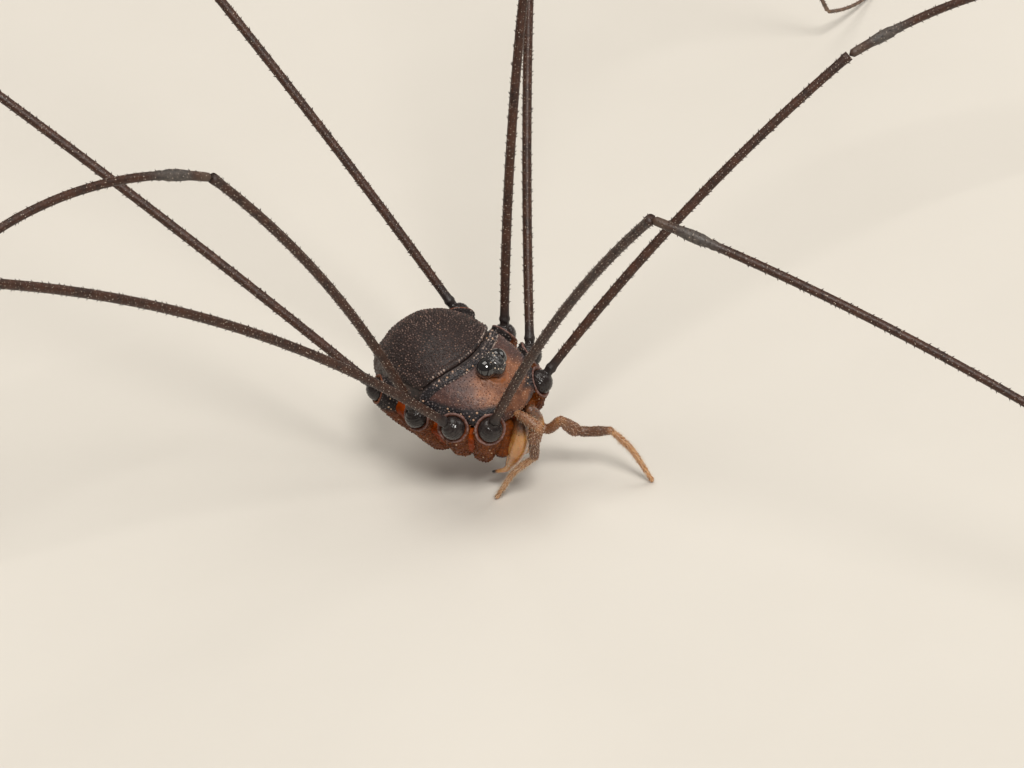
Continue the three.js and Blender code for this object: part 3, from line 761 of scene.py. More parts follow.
def make_piece(name, points, faces, paint, replaces, uv, uv_name, shades):
    """One mesh piece on the body named root, with its points in metres."""
    mesh = bpy.data.meshes.new(name)
    mesh.from_pydata(np.asarray(points).tolist(), [], [face.tolist() for face in faces])
    mesh.polygons.foreach_set("use_smooth", [True] * len(mesh.polygons))
    layer = mesh.uv_layers.new(name=uv_name)
    layer.data.foreach_set("uv", np.asarray(uv, np.float32).ravel())
    for shade, values in shades.items():
        attribute = mesh.attributes.new(shade, "FLOAT", "POINT")
        attribute.data.foreach_set("value", np.asarray(values, np.float32).ravel())
    mesh.materials.append(PAINTS[paint])
    piece = bpy.data.objects.new(name, mesh)
    bpy.context.scene.collection.objects.link(piece)
    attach(piece, "root")
    if replaces:
        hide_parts(*replaces)


def skin_piece(name, skin, paint, replaces=()):
    """A skin as a closed piece, its two ends capped."""
    rows, columns = skin.points.shape[:2]
    quads, uv = skin.faces()
    first = np.arange(columns)[::-1]
    last = (rows - 1) * columns + np.arange(columns)
    uv = np.concatenate([uv, np.zeros((columns, 2)), np.ones((columns, 2))])
    points = skin.place(skin.points.reshape(-1, 3))
    make_piece(name, points, list(quads) + [first, last], paint, replaces, uv, "UVMap", skin.shades)


def cover(node, skin, paint):
    """A skin that stands for a solid's node."""
    skin_piece(f"{node}_skin", skin, paint, [node])


def tufts(name, roots, place, radii, heights, lean, shape, paint):
    """Small closed bumps or spikes on a skin, joined in one piece and leaning along it."""
    sides, profile = shape
    count = len(roots["points"])
    up = unit(roots["normals"] + roots["along"] * lean)
    across = unit(np.cross(roots["along"], roots["normals"]))
    forth = np.cross(up, across)
    radii = np.broadcast_to(radii, count)[:, None, None]
    heights = np.broadcast_to(heights, count)[:, None, None]
    layers = []
    flat = []
    for height, width, shift in profile:
        turn = (np.arange(sides) + shift) / sides * 2 * math.pi
        circle = np.stack([np.cos(turn), np.sin(turn)], -1) * width
        level = up[:, None] * heights * height
        ring = across[:, None] * radii * circle[:, :1] + forth[:, None] * radii * circle[:, 1:]
        layers.append(roots["points"][:, None] + level + ring)
        flat.append(circle)
    layers.append(roots["points"][:, None] + up[:, None] * heights)
    flat.append(np.zeros((1, 2)))
    points = np.concatenate(layers, 1)
    each = points.shape[1]
    template = []
    for ring in range(len(profile) - 1):
        for i in range(sides):
            a, b = ring * sides + i, ring * sides + (i + 1) % sides
            template += [(a, b, b + sides), (a, b + sides, a + sides)]
    top = (len(profile) - 1) * sides
    template += [(top + i, top + (i + 1) % sides, each - 1) for i in range(sides)]
    faces = (np.array(template)[None] + (np.arange(count) * each)[:, None, None]).reshape(-1, 3)
    patch = roots["uv"][:, None] + np.concatenate(flat)[None] * TUFT_PATCH / 2
    uv = np.clip(patch.reshape(-1, 2), 0, 1)[faces.ravel()]
    shades = {shade: np.repeat(roots[shade], each) for shade in roots if roots[shade].ndim == 1}
    make_piece(name, place(points.reshape(-1, 3)), faces, paint, (), uv, "OFBake", shades)


def add_granules(name, skin, spacing, size, seed, paint, keep=None, grow=None):
    """Rounded granules over a skin, each with its own height and tint."""
    roots = skin.scatter(spacing, seed, keep)
    rng = np.random.default_rng(seed + 1)
    count = len(roots["points"])
    roots["top"] = rng.random(count)
    roots["pale"] = rng.random(count)
    sizes = size * (0.75 + 0.5 * rng.random(count))
    if grow is not None:
        sizes = sizes * grow(roots)
    tufts(name, roots, skin.place, sizes, sizes * 0.85, 0.15, DOME, paint)


# The body's form

def body_skin(forward, left, up):
    return Skin(spot(np.stack(np.broadcast_arrays(forward, left, up), -1)), from_body)


def rounded_share(distance, reach, power, edge):
    share = np.minimum(np.abs(distance) / reach, 1)
    return (1 - share ** power) ** (1 / edge)


def half_width(forward):
    reach = np.where(forward > WIDEST_AT, BODY_FRONT - WIDEST_AT, BODY_REAR + WIDEST_AT)
    return HALF_WIDTH * rounded_share(forward - WIDEST_AT, reach, SHOULDER_POWER, EDGE_POWER)


def crown_height(forward):
    ahead = forward > CROWN_AT
    reach = np.where(ahead, CROWN_REACH[1], CROWN_REACH[0])
    power = np.where(ahead, CROWN_POWER[1], CROWN_POWER[0])
    return CROWN_HEIGHT * rounded_share(forward - CROWN_AT, reach, power, 2)


def groove(left):
    return GROOVE_AT - GROOVE_BOW * left ** 2


def margin_height(forward):
    return np.interp(forward, (-BODY_REAR, SHIELD_BREAK_AT), (SHIELD_REAR_EDGE, SHIELD_EDGE))


def back_height(forward, left):
    """The top of the back above the sockets at a place seen from above."""
    share = np.minimum(np.abs(left) / np.maximum(half_width(forward), TINY), 1)
    return crown_height(forward) * np.sqrt(1 - share ** 2)


def rolled(distance):
    """How far an edge has rounded down at a distance in from it."""
    inside = ROLLED_EDGE - np.clip(distance, 0, ROLLED_EDGE)
    return ROLLED_EDGE - np.sqrt(np.maximum(ROLLED_EDGE ** 2 - inside ** 2, 0))


def shield_reach(ahead, aside):
    """How far the dorsal shield reaches from its middle in each direction, found by halving."""
    low, high = np.zeros(len(ahead)), np.full(len(ahead), 5.0)
    for _ in range(40):
        reach = (low + high) / 2
        forward, left = SHIELD_MIDDLE + reach * ahead, reach * aside
        inside = back_height(forward, left) > margin_height(forward)
        inside &= (forward < groove(left) - GAP / 2) & (forward > -BODY_REAR)
        low, high = np.where(inside, reach, low), np.where(inside, high, reach)
    return low


def dorsal_shield_skin():
    """Rings from the crown out to the margin, which rolls under into a skirt."""
    turn = -turns(SHIELD_GRID[1])
    ahead, aside = np.cos(turn), np.sin(turn)
    outermost = shield_reach(ahead, aside)
    share = 1 - (1 - np.linspace(0.004, 1, SHIELD_GRID[0])) ** 1.7
    reach = share[:, None] * outermost
    forward, left = SHIELD_MIDDLE + reach * ahead, reach * aside
    skin = body_skin(forward, left, back_height(forward, left))
    distance = outermost - reach
    raised_edge = bulge(distance, 0.16, 0.05, 0.02) - bulge(distance, 0.27, 0.05, 0.018)
    skin.push(raised_edge - rolled(distance) + 0.012 * ripples(skin.points, 0.9, 3))
    down = skin.normals()[-1]
    skirts = [skin.points[-1] - down * depth for depth in SKIRT_DEPTHS]
    skin.points = np.vstack([skin.points, skirts])
    skirt_edge = np.ones((len(SKIRT_DEPTHS), len(turn)))
    return skin.shaded(edge=np.vstack([smooth_step(0.22, 0.0, distance), skirt_edge]))


def head_shield_skin():
    """Rings from the furrow to the front margin, closed below, where the hips hide it."""
    turn = turns(HEAD_GRID[1])
    share = 1 - (1 - np.linspace(0, 1, HEAD_GRID[0])) ** 1.25
    share = share[:, None] * np.ones(len(turn))
    forward = share * (HEAD_FRONT - GROOVE_AT) + GROOVE_AT
    for _ in range(12):
        left = half_width(forward) * np.cos(turn)
        start = groove(left) + GAP / 2
        forward = start + share * (HEAD_FRONT - start)
    half = half_width(forward)
    depth = HEAD_DEPTH * half / HALF_WIDTH
    up = np.sin(turn) * np.where(np.sin(turn) > 0, crown_height(forward), depth)
    left = half * np.cos(turn)
    skin = body_skin(forward, left, up)
    from_furrow = forward - start
    from_mound = np.hypot((forward - MOUND_CENTRE[0]) / MOUND_HALF[0], left / MOUND_HALF[1])
    brow = bulge(from_mound, 1.05, 0.2, 0.07) * (up > 0.5)
    second_groove = bulge(from_furrow, BAND_WIDTH, 0.05, -0.05) * (up > 0.2)
    skin.push(brow + second_groove - rolled(from_furrow) + 0.012 * ripples(skin.points, 0.7, 5))
    inner = skin.points[0] * (0.9, 1, 0.9)
    skin.points = np.vstack([inner[None] * (0.6, 1, 0.6), inner[None], skin.points])
    shades = head_shades(forward, np.abs(left) / np.maximum(half, TINY), up, from_furrow, from_mound)
    for name, levels in shades.items():
        skin.shaded(**{name: np.vstack([levels[:1], levels[:1], levels])})
    return skin


def head_shades(forward, sideways, up, from_furrow, from_mound):
    """Where the head is rust in the middle, black at the margin and aglow round the mound."""
    rust_reach = np.interp(forward, (1.2, 2.1), (0.68, 1.05))
    low_side = smooth_step(0.68, 0.34, up) * smooth_step(2.8, 2.5, forward)
    glow = smooth_step(1.24, 1.08, from_mound) * smooth_step(0.2, 0.5, from_furrow)
    return {
        "middle": smooth_step(-0.1, 0.75, rust_reach - sideways) * smooth_step(BAND_WIDTH, 0.9, from_furrow),
        "margin": np.maximum(low_side, smooth_step(BAND_WIDTH + 0.09, BAND_WIDTH, from_furrow)),
        "glow": glow * (up > 0.5) * 0.6,
    }


def oval_reach(across, rise, centre_up, half, height):
    """How far an oval section reaches from the axis in each direction."""
    a = (across / half) ** 2 + (rise / height) ** 2
    b = -2 * rise * centre_up / height ** 2
    c = (centre_up / height) ** 2 - 1
    root = b * b - 4 * a * c
    return np.where(root > 0, (-b + np.sqrt(np.maximum(root, 0))) / (2 * a), 0)


def belly_skin():
    """The dark form under the dorsal shield, a little inside it, with cross folds."""
    turn = turns(BELLY_GRID[1])
    across, rise = np.cos(turn), np.sin(turn)
    rear = BELLY_CENTRE[0] - BELLY_HALF[0] + 0.003
    forward = crowded(rear, BELLY_FRONT, BELLY_GRID[0])[:, None] * np.ones(len(turn))
    on_back = np.maximum(forward, -BODY_REAR)
    half = np.maximum(half_width(on_back) - 0.08, 0.02)
    top = np.maximum(crown_height(on_back) - 0.16, 0.02)
    below = 1.2 * half / HALF_WIDTH
    axis = BELLY_CENTRE[1] * smooth_step(-2.2, -3.2, forward)
    back = oval_reach(across, rise, -axis, half, np.where(rise > 0, top, below))
    back = back * smooth_step(0.5, 1.0, half / (0.6 - axis))
    swell = np.sqrt(np.maximum(1 - ((forward - BELLY_CENTRE[0]) / BELLY_HALF[0]) ** 2, 1e-5))
    oval = oval_reach(across, rise, BELLY_CENTRE[1] - axis, BELLY_HALF[1] * swell, BELLY_HALF[2] * swell)
    reach = np.maximum(np.logaddexp(back * 12, oval * 12) / 12 - 0.03, 0.01)
    reach = np.where(rise > 0.35, np.minimum(reach, np.maximum(back, oval)), reach)
    up = axis + reach * rise
    skin = body_skin(forward, reach * across, up)
    folds = np.abs(np.sin(forward * math.pi / 0.62)) ** 0.4
    lower = smooth_step(0.4, 0.0, up)
    skin.push((folds - 1) * 0.09 * lower + 0.02 * ripples(skin.points, 0.6, 8))
    return skin.shaded(under=smooth_step(-1.0, -1.7, up) * 0.8)


def chest_skin():
    """The soft core between the hips."""
    turn = turns(CHEST_GRID[1])
    rear, front = CHEST_ENDS
    middle = 0.5
    forward = crowded(rear, front, CHEST_GRID[0], 0.02)[:, None]
    share = np.maximum(rounded_share(forward - middle, front - middle, 3, 2), 0.02)
    up = np.where(np.sin(turn) > 0, 0.3, CHEST_HALF[1]) * share * np.sin(turn)
    skin = body_skin(forward, CHEST_HALF[0] * share * np.cos(turn), up)
    return skin.push(0.04 * ripples(skin.points, 0.5, 9))


def seam_web_skin(side):
    """Soft skin that fills the seams between one side's hips, a little inside their columns."""
    rows, around = SEAM_GRID
    sockets = curve_through([np.array(hip[0]) - (0, 0.22, 0.32) for hip in HIPS], rows)
    feet = curve_through([np.array(hip[1]) for hip in HIPS], rows)
    middle = (sockets + feet) / 2
    lift = sockets - feet
    outward = unit(np.cross(unit(np.gradient(middle, axis=0)), lift))
    share = np.linspace(0, 1, rows)
    thick = 0.30 * np.sqrt(np.clip(np.minimum(share, share[::-1]) * 14, 0.003, 1))
    turn = turns(around)[:, None]
    tall = np.sign(np.sin(turn)) * np.abs(np.sin(turn)) ** 0.6
    wide = np.sign(np.cos(turn)) * np.abs(np.cos(turn)) ** 0.6
    places = middle[:, None] + lift[:, None] * 0.5 * tall + outward[:, None] * wide * thick[:, None, None]
    points = spot(places, side)[:, ::-side]
    return Skin(points, from_body).push(0.03 * ripples(points, 0.3, 11)).shaded(soot=0.1)


def hip_skin(hip, side, pair):
    """A column from its low end up to a flared socket, whose rim turns in around the ball."""
    socket, foot = spot(hip[0], side), spot(hip[1], side)
    ball, rim, base = hip[2:]
    length = np.linalg.norm(socket - foot)
    axis = (socket - foot) / length
    facing = unit(axis * 0.55 + unit(socket * (1, 1, 0)) * 0.75)
    start = -base + 0.01
    body = start + (length - start) * (1 - (1 - np.linspace(0, 1, 64)) ** 1.1)
    base = base + HIP_SWELL[pair]
    radii = np.interp(body, (0, length * 0.6, length), (base, (base + rim) / 2 + 0.02, rim))
    radii = radii * np.sqrt(np.clip(1 - (np.minimum(body, 0) / base) ** 2, 0.0005, 1))
    turned = smooth_step(0.25, 1.0, body / length)[:, None]
    lip = np.linspace(0, 1, 14)[1:]
    lip_radius = rim + 0.012 * np.sin(lip * math.pi) - (rim - ball - 0.015) * lip ** 1.6
    cup_radius = (ball - 0.02, ball * 0.8, ball * 0.5)
    lift = np.concatenate([0.05 * np.sin(lip * math.pi), (-0.08, -0.25, -0.4)])[:, None]
    path = np.vstack([foot + axis * body[:, None], socket + facing * lift])
    turning = unit(axis * (1 - turned) + facing * turned)
    directions = np.vstack([turning, np.repeat(facing[None], len(lift), 0)])
    radii = np.concatenate([radii, lip_radius, cup_radius])
    points = swept(path, radii, HIP_SIDES, spot((1, 0, 0)), directions)
    along = np.arange(len(path))
    column = (along < len(body))[:, None]
    skin = Skin(points, from_body).push(0.035 * ripples(points, 0.45, 20 + pair) * column)
    rim_shade = np.interp(along, (61.5, 65, 72, 76.5), (0, 1, 1, 0)) * RIM_SHADE[pair]
    height = (skin.points[..., 2] - foot[2]) / (socket[2] - foot[2])
    # Painted shade: darker towards the socket and on the sides facing the body; the hind hips are darker all
    # over as well.
    soot = HIP_TOP_SHADE[pair] * smooth_step(0.5, 1.0, height) + HIP_DARK_ALL_OVER[pair]
    inward = np.sum(skin.normals() * unit(socket * (-1, -1, 0) + (0, 0, 1.2)), -1)
    soot = np.maximum(soot, smooth_step(0.35, 0.8, inward)) * column
    return skin.shaded(rim=rim_shade, cup=np.interp(along, (75, 77), (0, 1)), soot=soot)


def ball_grid(rows, around):
    """How far up a ball each row of points is, and how far round it each column is."""
    pole = 0.5 * math.pi - 0.02
    return np.linspace(-pole, pole, rows)[:, None], turns(around)


def mound_skin():
    rise, turn = ball_grid(*MOUND_GRID)
    forward = MOUND_CENTRE[0] + MOUND_HALF[0] * np.cos(rise) * np.sin(turn)
    left = MOUND_HALF[1] * np.cos(rise) * np.cos(turn)
    skin = body_skin(forward, left, MOUND_CENTRE[2] + MOUND_HALF[2] * np.sin(rise))
    skin.points = skin.points[:, ::-1]
    dip = bulge(skin.points[..., 0], 0, 0.1, -0.05) * smooth_step(1.6, 1.9, skin.points[..., 2])
    return skin.push(dip + 0.012 * ripples(skin.points, 0.25, 13))


def eye_middle(side):
    return spot((EYE_CENTRE[0], EYE_CENTRE[1] + EYE_SHIFT, EYE_CENTRE[2]), side)


def eye_skin(side):
    rise, turn = ball_grid(*EYE_GRID)
    ball = (np.cos(rise) * np.cos(turn), np.cos(rise) * np.sin(turn), np.sin(rise))
    return Skin(eye_middle(side) + np.stack(np.broadcast_arrays(*ball), -1) * EYE_RADIUS, from_body)


def eye_rim_skin(side):
    """The raised ring around an eye."""
    outward = unit(spot((0.15, 1.0, 0.12), side))
    across = unit(np.cross(outward, (0, 0, 1)))
    rows, around = EYE_RIM_GRID
    turn = (np.arange(rows) / (rows - 1) * 2 * math.pi)[:, None]
    ring = across * np.cos(turn) + np.cross(outward, across) * np.sin(turn)
    path = eye_middle(side) - outward * 0.12 + ring * (EYE_RADIUS - 0.03)
    small = turns(around)[None, :, None]
    radii = 0.045 + 0.006 * np.sin(turn * 9)
    section = ring[:, None] * np.cos(small) + outward * np.sin(small)
    return Skin(path[:, None] + section * radii[:, None], from_body)


def bead_row(name, offset, pitch, size, seed, slot):
    """A row of beads along the furrow, at an offset ahead of it."""
    left = np.linspace(-BEAD_ROW_HALF, BEAD_ROW_HALF, 400)
    forward = groove(left) + offset
    path = spot(np.stack([forward, left, back_height(forward, left)], -1))
    measured = lengths_along(path)
    rng = np.random.default_rng(seed)
    stations = np.arange(0.05, measured[-1], pitch)
    stations = stations + rng.normal(size=len(stations)) * pitch * 0.12
    step = 1e-3
    ahead = spot(np.stack([forward + step, left, back_height(forward + step, left)], -1)) - path
    along = unit(np.gradient(path, axis=0))
    normals = unit(np.cross(unit(ahead), along))
    normals = normals * np.sign(normals[:, 2:])
    index = np.searchsorted(measured, stations).clip(0, len(path) - 1)
    count = len(stations)
    roots = {
        "points": at_lengths(path, stations),
        "normals": normals[index],
        "along": along[index],
        "uv": np.stack([stations / measured[-1], np.full(count, 0.5 + offset)], -1),
        "top": 0.5 + 0.5 * rng.random(count),
        "pale": rng.random(count) * 0.94,
        "middle": np.zeros(count),
        "margin": np.ones(count),
    }
    sizes = size * (0.85 + 0.3 * rng.random(count))
    tufts(name, roots, from_body, sizes, sizes * 1.1, 0.0, DOME, "bead")


def add_shields():
    shield = dorsal_shield_skin()
    cover("dorsal_shield", shield, "shield")
    add_granules("dorsal_shield_granules", shield, 0.086, 0.037, 201, "shield_granule",
                 lambda roots: roots["edge"] < 0.97, lambda roots: 1 - 0.15 * roots["edge"])
    head = head_shield_skin()
    cover("head_shield", head, "head")
    add_granules("head_shield_granules", head, 0.084, 0.037, 211, "head_granule",
                 lambda roots: (roots["points"][:, 2] > -0.6) & (roots["glow"] < 0.45),
                 lambda roots: 0.75 + 0.5 * roots["margin"])
    for row, measures in BEAD_ROWS.items():
        bead_row(f"furrow_beads_{row}", *measures)


def add_underside():
    belly = belly_skin()
    cover("belly", belly, "belly")
    add_granules("belly_granules", belly, 0.13, 0.030, 231, "shield_granule",
                 lambda roots: roots["points"][:, 2] < 0.5)
    cover("chest", chest_skin(), "seam")
    for side_name, side in SIDES:
        web = seam_web_skin(side)
        skin_piece(f"hip_seams_{side_name}", web, "seam")
        add_granules(f"hip_seams_{side_name}_granules", web, 0.16, 0.020, 241, "hip_granule")


def add_hips():
    for side_name, side in SIDES:
        for pair, hip in enumerate(HIPS):
            name = f"hip_{side_name}_{pair + 1}"
            skin = hip_skin(hip, side, pair)
            cover(name, skin, "hip")
            add_granules(f"{name}_granules", skin, 0.098, 0.036, 300 + pair, "hip_granule",
                         lambda roots: (roots["rim"] < 0.2) & (roots["cup"] < 0.2))


# Legs

def heading(azimuth, climb, side):
    azimuth, climb = np.radians(azimuth), np.radians(climb)
    level = np.cos(climb)
    return np.stack([side * np.sin(azimuth) * level, -np.cos(azimuth) * level, np.sin(climb)], -1)


def walk(start, length, headings, climbs, side, steps=96):
    """A path whose heading and climb turn evenly from its start to its end."""
    share = (np.arange(steps) + 0.5) / steps
    azimuth = headings[0] + (headings[1] - headings[0]) * share
    climb = climbs[0] + (climbs[1] - climbs[0]) * share
    moves = heading(azimuth, climb, side) * length / steps
    return np.vstack([start, start + np.cumsum(moves, 0)])


def shank_path(start, length, azimuth, side):
    drop = start[2] - ANKLE_HEIGHT
    end = start + heading(azimuth, 0, side) * math.sqrt(length * length - drop * drop)
    end[2] = ANKLE_HEIGHT
    middle = (start + end) / 2 + (0, 0, length * SHANK_BOW)
    return curve_through([start, middle, end], 80)


def foot_radius(share):
    return np.interp(share, (0, 0.3, 1), (0.085, 0.07, 0.045))


def foot_path(start, length, headings, side):
    """Down from the ankle in a curve, then flat along the ground."""
    path = walk(start, length, headings, (0, 0), side, 120)
    share = np.linspace(0, 1, len(path))
    above = np.maximum(1 - share / FOOT_FALL, 0)
    path[:, 2] = foot_radius(share) + (start[2] - foot_radius(0)) * above ** 2
    return path


def leg_skin(path, stations, radii, sides, **shades):
    """A tube along a path with radii at lengths along it. A shade that isn't given is nought."""
    skin = Skin(swept(at_lengths(path, stations), radii, sides), from_ground)
    return skin.shaded(**{name: np.clip(shades.get(name, 0), 0, 1) for name in LEG_SHADES})


def femur_skin(path, ball, length):
    """The hip's ball, a notched collar, and the thigh up to the knee."""
    ball_part = -ball * np.cos(np.linspace(0.05, math.pi * 0.80, 44))
    collar_end = ball * 2.6
    collar = np.linspace(ball_part[-1], collar_end, 36)[1:]
    thigh = np.linspace(collar_end, length, int((length - collar_end) / 0.16))[1:]
    stations = np.concatenate([ball_part, collar, thigh])
    on_ball = np.sqrt(np.maximum(ball ** 2 - stations ** 2, 0.0004))
    shaft = np.interp(stations, (0, ball * 1.3, ball * 2.6, 3.0, length - 1, length),
                      (0.17, 0.18, 0.168, 0.178, 0.173, 0.18))
    shaft = shaft + bulge(stations, ball * 1.42, 0.09, 0.03)
    shaft = shaft + bulge(stations, length - 0.12, 0.16, 0.022)
    radii = np.maximum(on_ball, np.where(stations > 0, shaft, 0))
    ridges = 0.006 * np.sin(stations / 0.052 * math.pi) * (stations > -ball * 0.5) * (stations < ball)
    dark = smooth_step(1.7, 0.55, stations) * 0.9 + bulge(stations, length, 0.5, 0.4)
    polish = smooth_step(ball * 1.5, ball * 1.1, stations)
    return leg_skin(path, stations, radii + ridges, 24, polish=polish, dark=dark)


def tibia_skin(path, knee, length, pale_ring):
    """The knee piece, thicker at its far end, and the shin beyond it."""
    stations = np.linspace(0.02, length, int(length / 0.14))
    places = (0, 0.2, knee * 0.5, knee * 0.75, knee, knee + 0.25, knee + 1, length)
    radii = np.interp(stations, places, (0.13, 0.165, 0.170, 0.215, 0.215, 0.150, 0.16, 0.145))
    radii = radii + bulge(stations, knee + 0.35, 0.1, 0.035) + bulge(stations, length - 0.1, 0.15, 0.025)
    radii[0] = 0.03
    # Painted sheen: a grey band over the knee piece and the start of the shin.
    slate = smooth_step(knee * 0.35, knee * 0.65, stations) * smooth_step(knee + 1.2, knee - 0.1, stations)
    pale = bulge(stations, length - 0.5, 0.5, 0.7) + pale_ring * bulge(stations, knee * 0.2, 0.3, 0.8)
    dark = bulge(stations, knee + 0.35, 0.25, 0.5) + bulge(stations, knee * 0.2, knee * 0.25, 0.5)
    return leg_skin(path, stations, radii, 24, dark=dark, slate=slate * 0.85, pale=pale)


def metatarsus_skin(path, length):
    stations = np.linspace(0, length, int(length / 0.16))
    radii = np.interp(stations, (0, 0.4, length), (0.10, 0.13, 0.085))
    joints = smooth_step(0.9, 1.0, np.cos(stations * 2 * math.pi / 1.9))
    joints = joints * smooth_step(0.35, 0.6, stations / length)
    radii = radii - 0.012 * joints + bulge(stations, 0.12, 0.1, 0.02)
    radii = radii + bulge(stations, length - 0.1, 0.12, 0.02)
    radii[0], radii[-1] = 0.03, 0.03
    return leg_skin(path, stations, radii, 16, pale=0.15 + 0.25 * joints + bulge(stations, length, 0.5, 0.5))


def tarsus_skin(path, length):
    """A long foot of many short joints that shorten towards its tip."""
    stations = np.linspace(0, length, int(length / 0.09))
    share = stations / length
    joints = np.abs(np.cos(length * 1.6 * (share + 0.55 * share ** 2) * math.pi)) ** 8
    radii = foot_radius(share) * (1 - 0.16 * joints)
    radii[0], radii[-1] = 0.03, 0.015
    return leg_skin(path, stations, radii, 12, pale=0.2 + 0.3 * joints)


def claw_skin(path):
    """The small hooked claw at a foot's tip."""
    tip = path[-1]
    ahead = unit(path[-1] - path[-4])
    bend = np.linspace(0, 1, 12)[:, None]
    arch = np.array([0, 0, 0.03]) * np.sin(bend * math.pi)
    route = tip - ahead * 0.02 + ahead * 0.16 * np.sin(bend * 1.5) + arch
    route[:, 2] = np.maximum(route[:, 2] - 0.03 * bend[:, 0], 0.008)
    return Skin(swept(route, np.linspace(0.03, 0.005, 12), 8), from_ground)


def leg_skins(side_name, side, pair):
    """The skins of a leg's four segments and of its claw."""
    femur, patella, tibia, metatarsus, tarsus = LEG_LENGTHS[pair]
    thigh_turn, thigh_climb, shin_turn, shin_climb, shank_turn, foot_turn = STANCE[side_name][pair]
    thigh = walk(to_ground(spot(HIPS[pair][0], side)), femur, thigh_turn, thigh_climb, side)
    shin = walk(thigh[-1], patella + tibia, shin_turn, shin_climb, side)
    shank = shank_path(shin[-1], metatarsus, shank_turn, side)
    foot = foot_path(shank[-1], tarsus, foot_turn, side)
    ringed = side_name == "left" and pair == 1
    skins = {
        "femur": femur_skin(thigh, HIPS[pair][2], femur),
        "tibia": tibia_skin(shin, patella, patella + tibia, 1.0 if ringed else 0.4),
        "metatarsus": metatarsus_skin(shank, metatarsus),
        "tarsus": tarsus_skin(foot, tarsus),
    }
    return skins, claw_skin(foot)


def add_leg(side_name, side, pair):
    """One leg's four segments, its claw, its spines, and tiny bumps whose pale colour is a painted glint."""
    name = f"leg_{side_name}_{pair + 1}"
    skins, claw = leg_skins(side_name, side, pair)
    for part, skin in skins.items():
        cover(f"{name}_{part}", skin, "leg")
    skin_piece(f"{name}_claw", claw, "spine")
    femur, patella, tibia, metatarsus, tarsus = LEG_LENGTHS[pair]
    ball = HIPS[pair][2]
    knee_end = patella + tibia
    seed = 100 * pair + (10 if side > 0 else 0)
    spines = joined([
        skins["femur"].in_rows(ball * 3.4, femur + ball, 0.42, 9, seed),
        skins["tibia"].in_rows(0.2, knee_end, 0.40, 8, seed + 1),
        skins["metatarsus"].in_rows(0.1, metatarsus - 0.1, 0.42, 7, seed + 2),
        skins["tarsus"].in_rows(0.1, tarsus * 0.97, 0.36, 6, seed + 3),
    ])
    rng = np.random.default_rng(seed + 4)
    slim = np.interp(spines["uv"][:, 0], (0, 0.5, 1), (1.0, 0.8, 0.5))
    lengths = (0.070 + 0.030 * rng.random(len(slim))) * (0.6 + 0.4 * slim)
    clear = spines["points"][:, 2] + spines["normals"][:, 2] * 0.12 > 0.03
    tufts(f"{name}_spines", chosen(spines, clear), from_ground, 0.024 * slim[clear], lengths[clear], 0.8,
          SPIKE, "spine")
    # Tiny bumps on the femur and tibia, coloured pale as painted glints.
    glint_specks = joined([
        skins["femur"].in_rows(ball * 3.2, femur + ball, 0.20, 10, seed + 5, 0.45),
        skins["tibia"].in_rows(0.3, knee_end, 0.26, 9, seed + 6, 0.45),
    ])
    sizes = 0.009 + 0.013 * rng.random(len(glint_specks["points"])) ** 2
    tufts(f"{name}_specks", glint_specks, from_ground, sizes, sizes * 0.9, 0.0, DOME, "speck_glint")


# Feelers, pincers, mouth and eyes

def feeler_tip(side_name):
    """Where a feeler's tip meets the ground, in body places."""
    forward, left = FEELER_TIPS[side_name]
    above, below = spot((forward, left, 0)), spot((forward, left, -1))
    high, low = to_ground(above)[2], to_ground(below)[2]
    fall = (high - FEELER_TIP_HEIGHT) / (high - low)
    return above + (below - above) * fall


def clear_of_floor(roots):
    """The roots whose hairs stay above the ground."""
    ends = roots["points"] + unit(roots["normals"] + roots["along"]) * LONGEST_HAIR
    return to_ground(ends)[:, 2] > 0


def feeler_skin(side_name, part, route, seed):
    radii, dark, tan = FEELER_PIECES[part][:3]
    length = lengths_along(route)[-1]
    reach = length + (0.03 if part != "tarsus" else 0)
    stations = np.concatenate([[-0.1], np.linspace(-0.06, reach, 68), [reach + 0.05]])
    share = np.clip(stations / length, 0, 1)
    if part == "femur":
        radii = np.multiply(radii, FEELER_SLIMNESS[side_name])
    knuckle = bulge(stations, length - 0.08, 0.09, 0.02)
    if part == "tibia":
        knuckle = knuckle + bulge(stations, length * 0.36, 0.14, 0.03)
        knuckle = knuckle - bulge(stations, length * 0.47, 0.06, 0.04)
        dark = dark * (0.3 + 0.7 * smooth_step(0.38, 0.5, share))
    sizes = np.interp(share, np.linspace(0, 1, len(radii)), radii) + knuckle
    sizes[0], sizes[-1] = 0.05, 0.05
    reference = spot((0, 1, 0)) if side_name == "right" else (0, 0, 1)
    points = swept(at_lengths(route, stations), sizes, FEELER_SIDES, reference)
    skin = Skin(points, from_body).push(0.012 * ripples(points, 0.3, seed))
    ends = np.clip(bulge(stations, 0, 0.12, 1.0) + bulge(stations, length, 0.12, 1.0), 0, 1)
    return skin.shaded(tan=np.clip(tan * (0.5 + 0.5 * share) + ends * 0.3, 0, 1), dark=dark * (1 - ends))


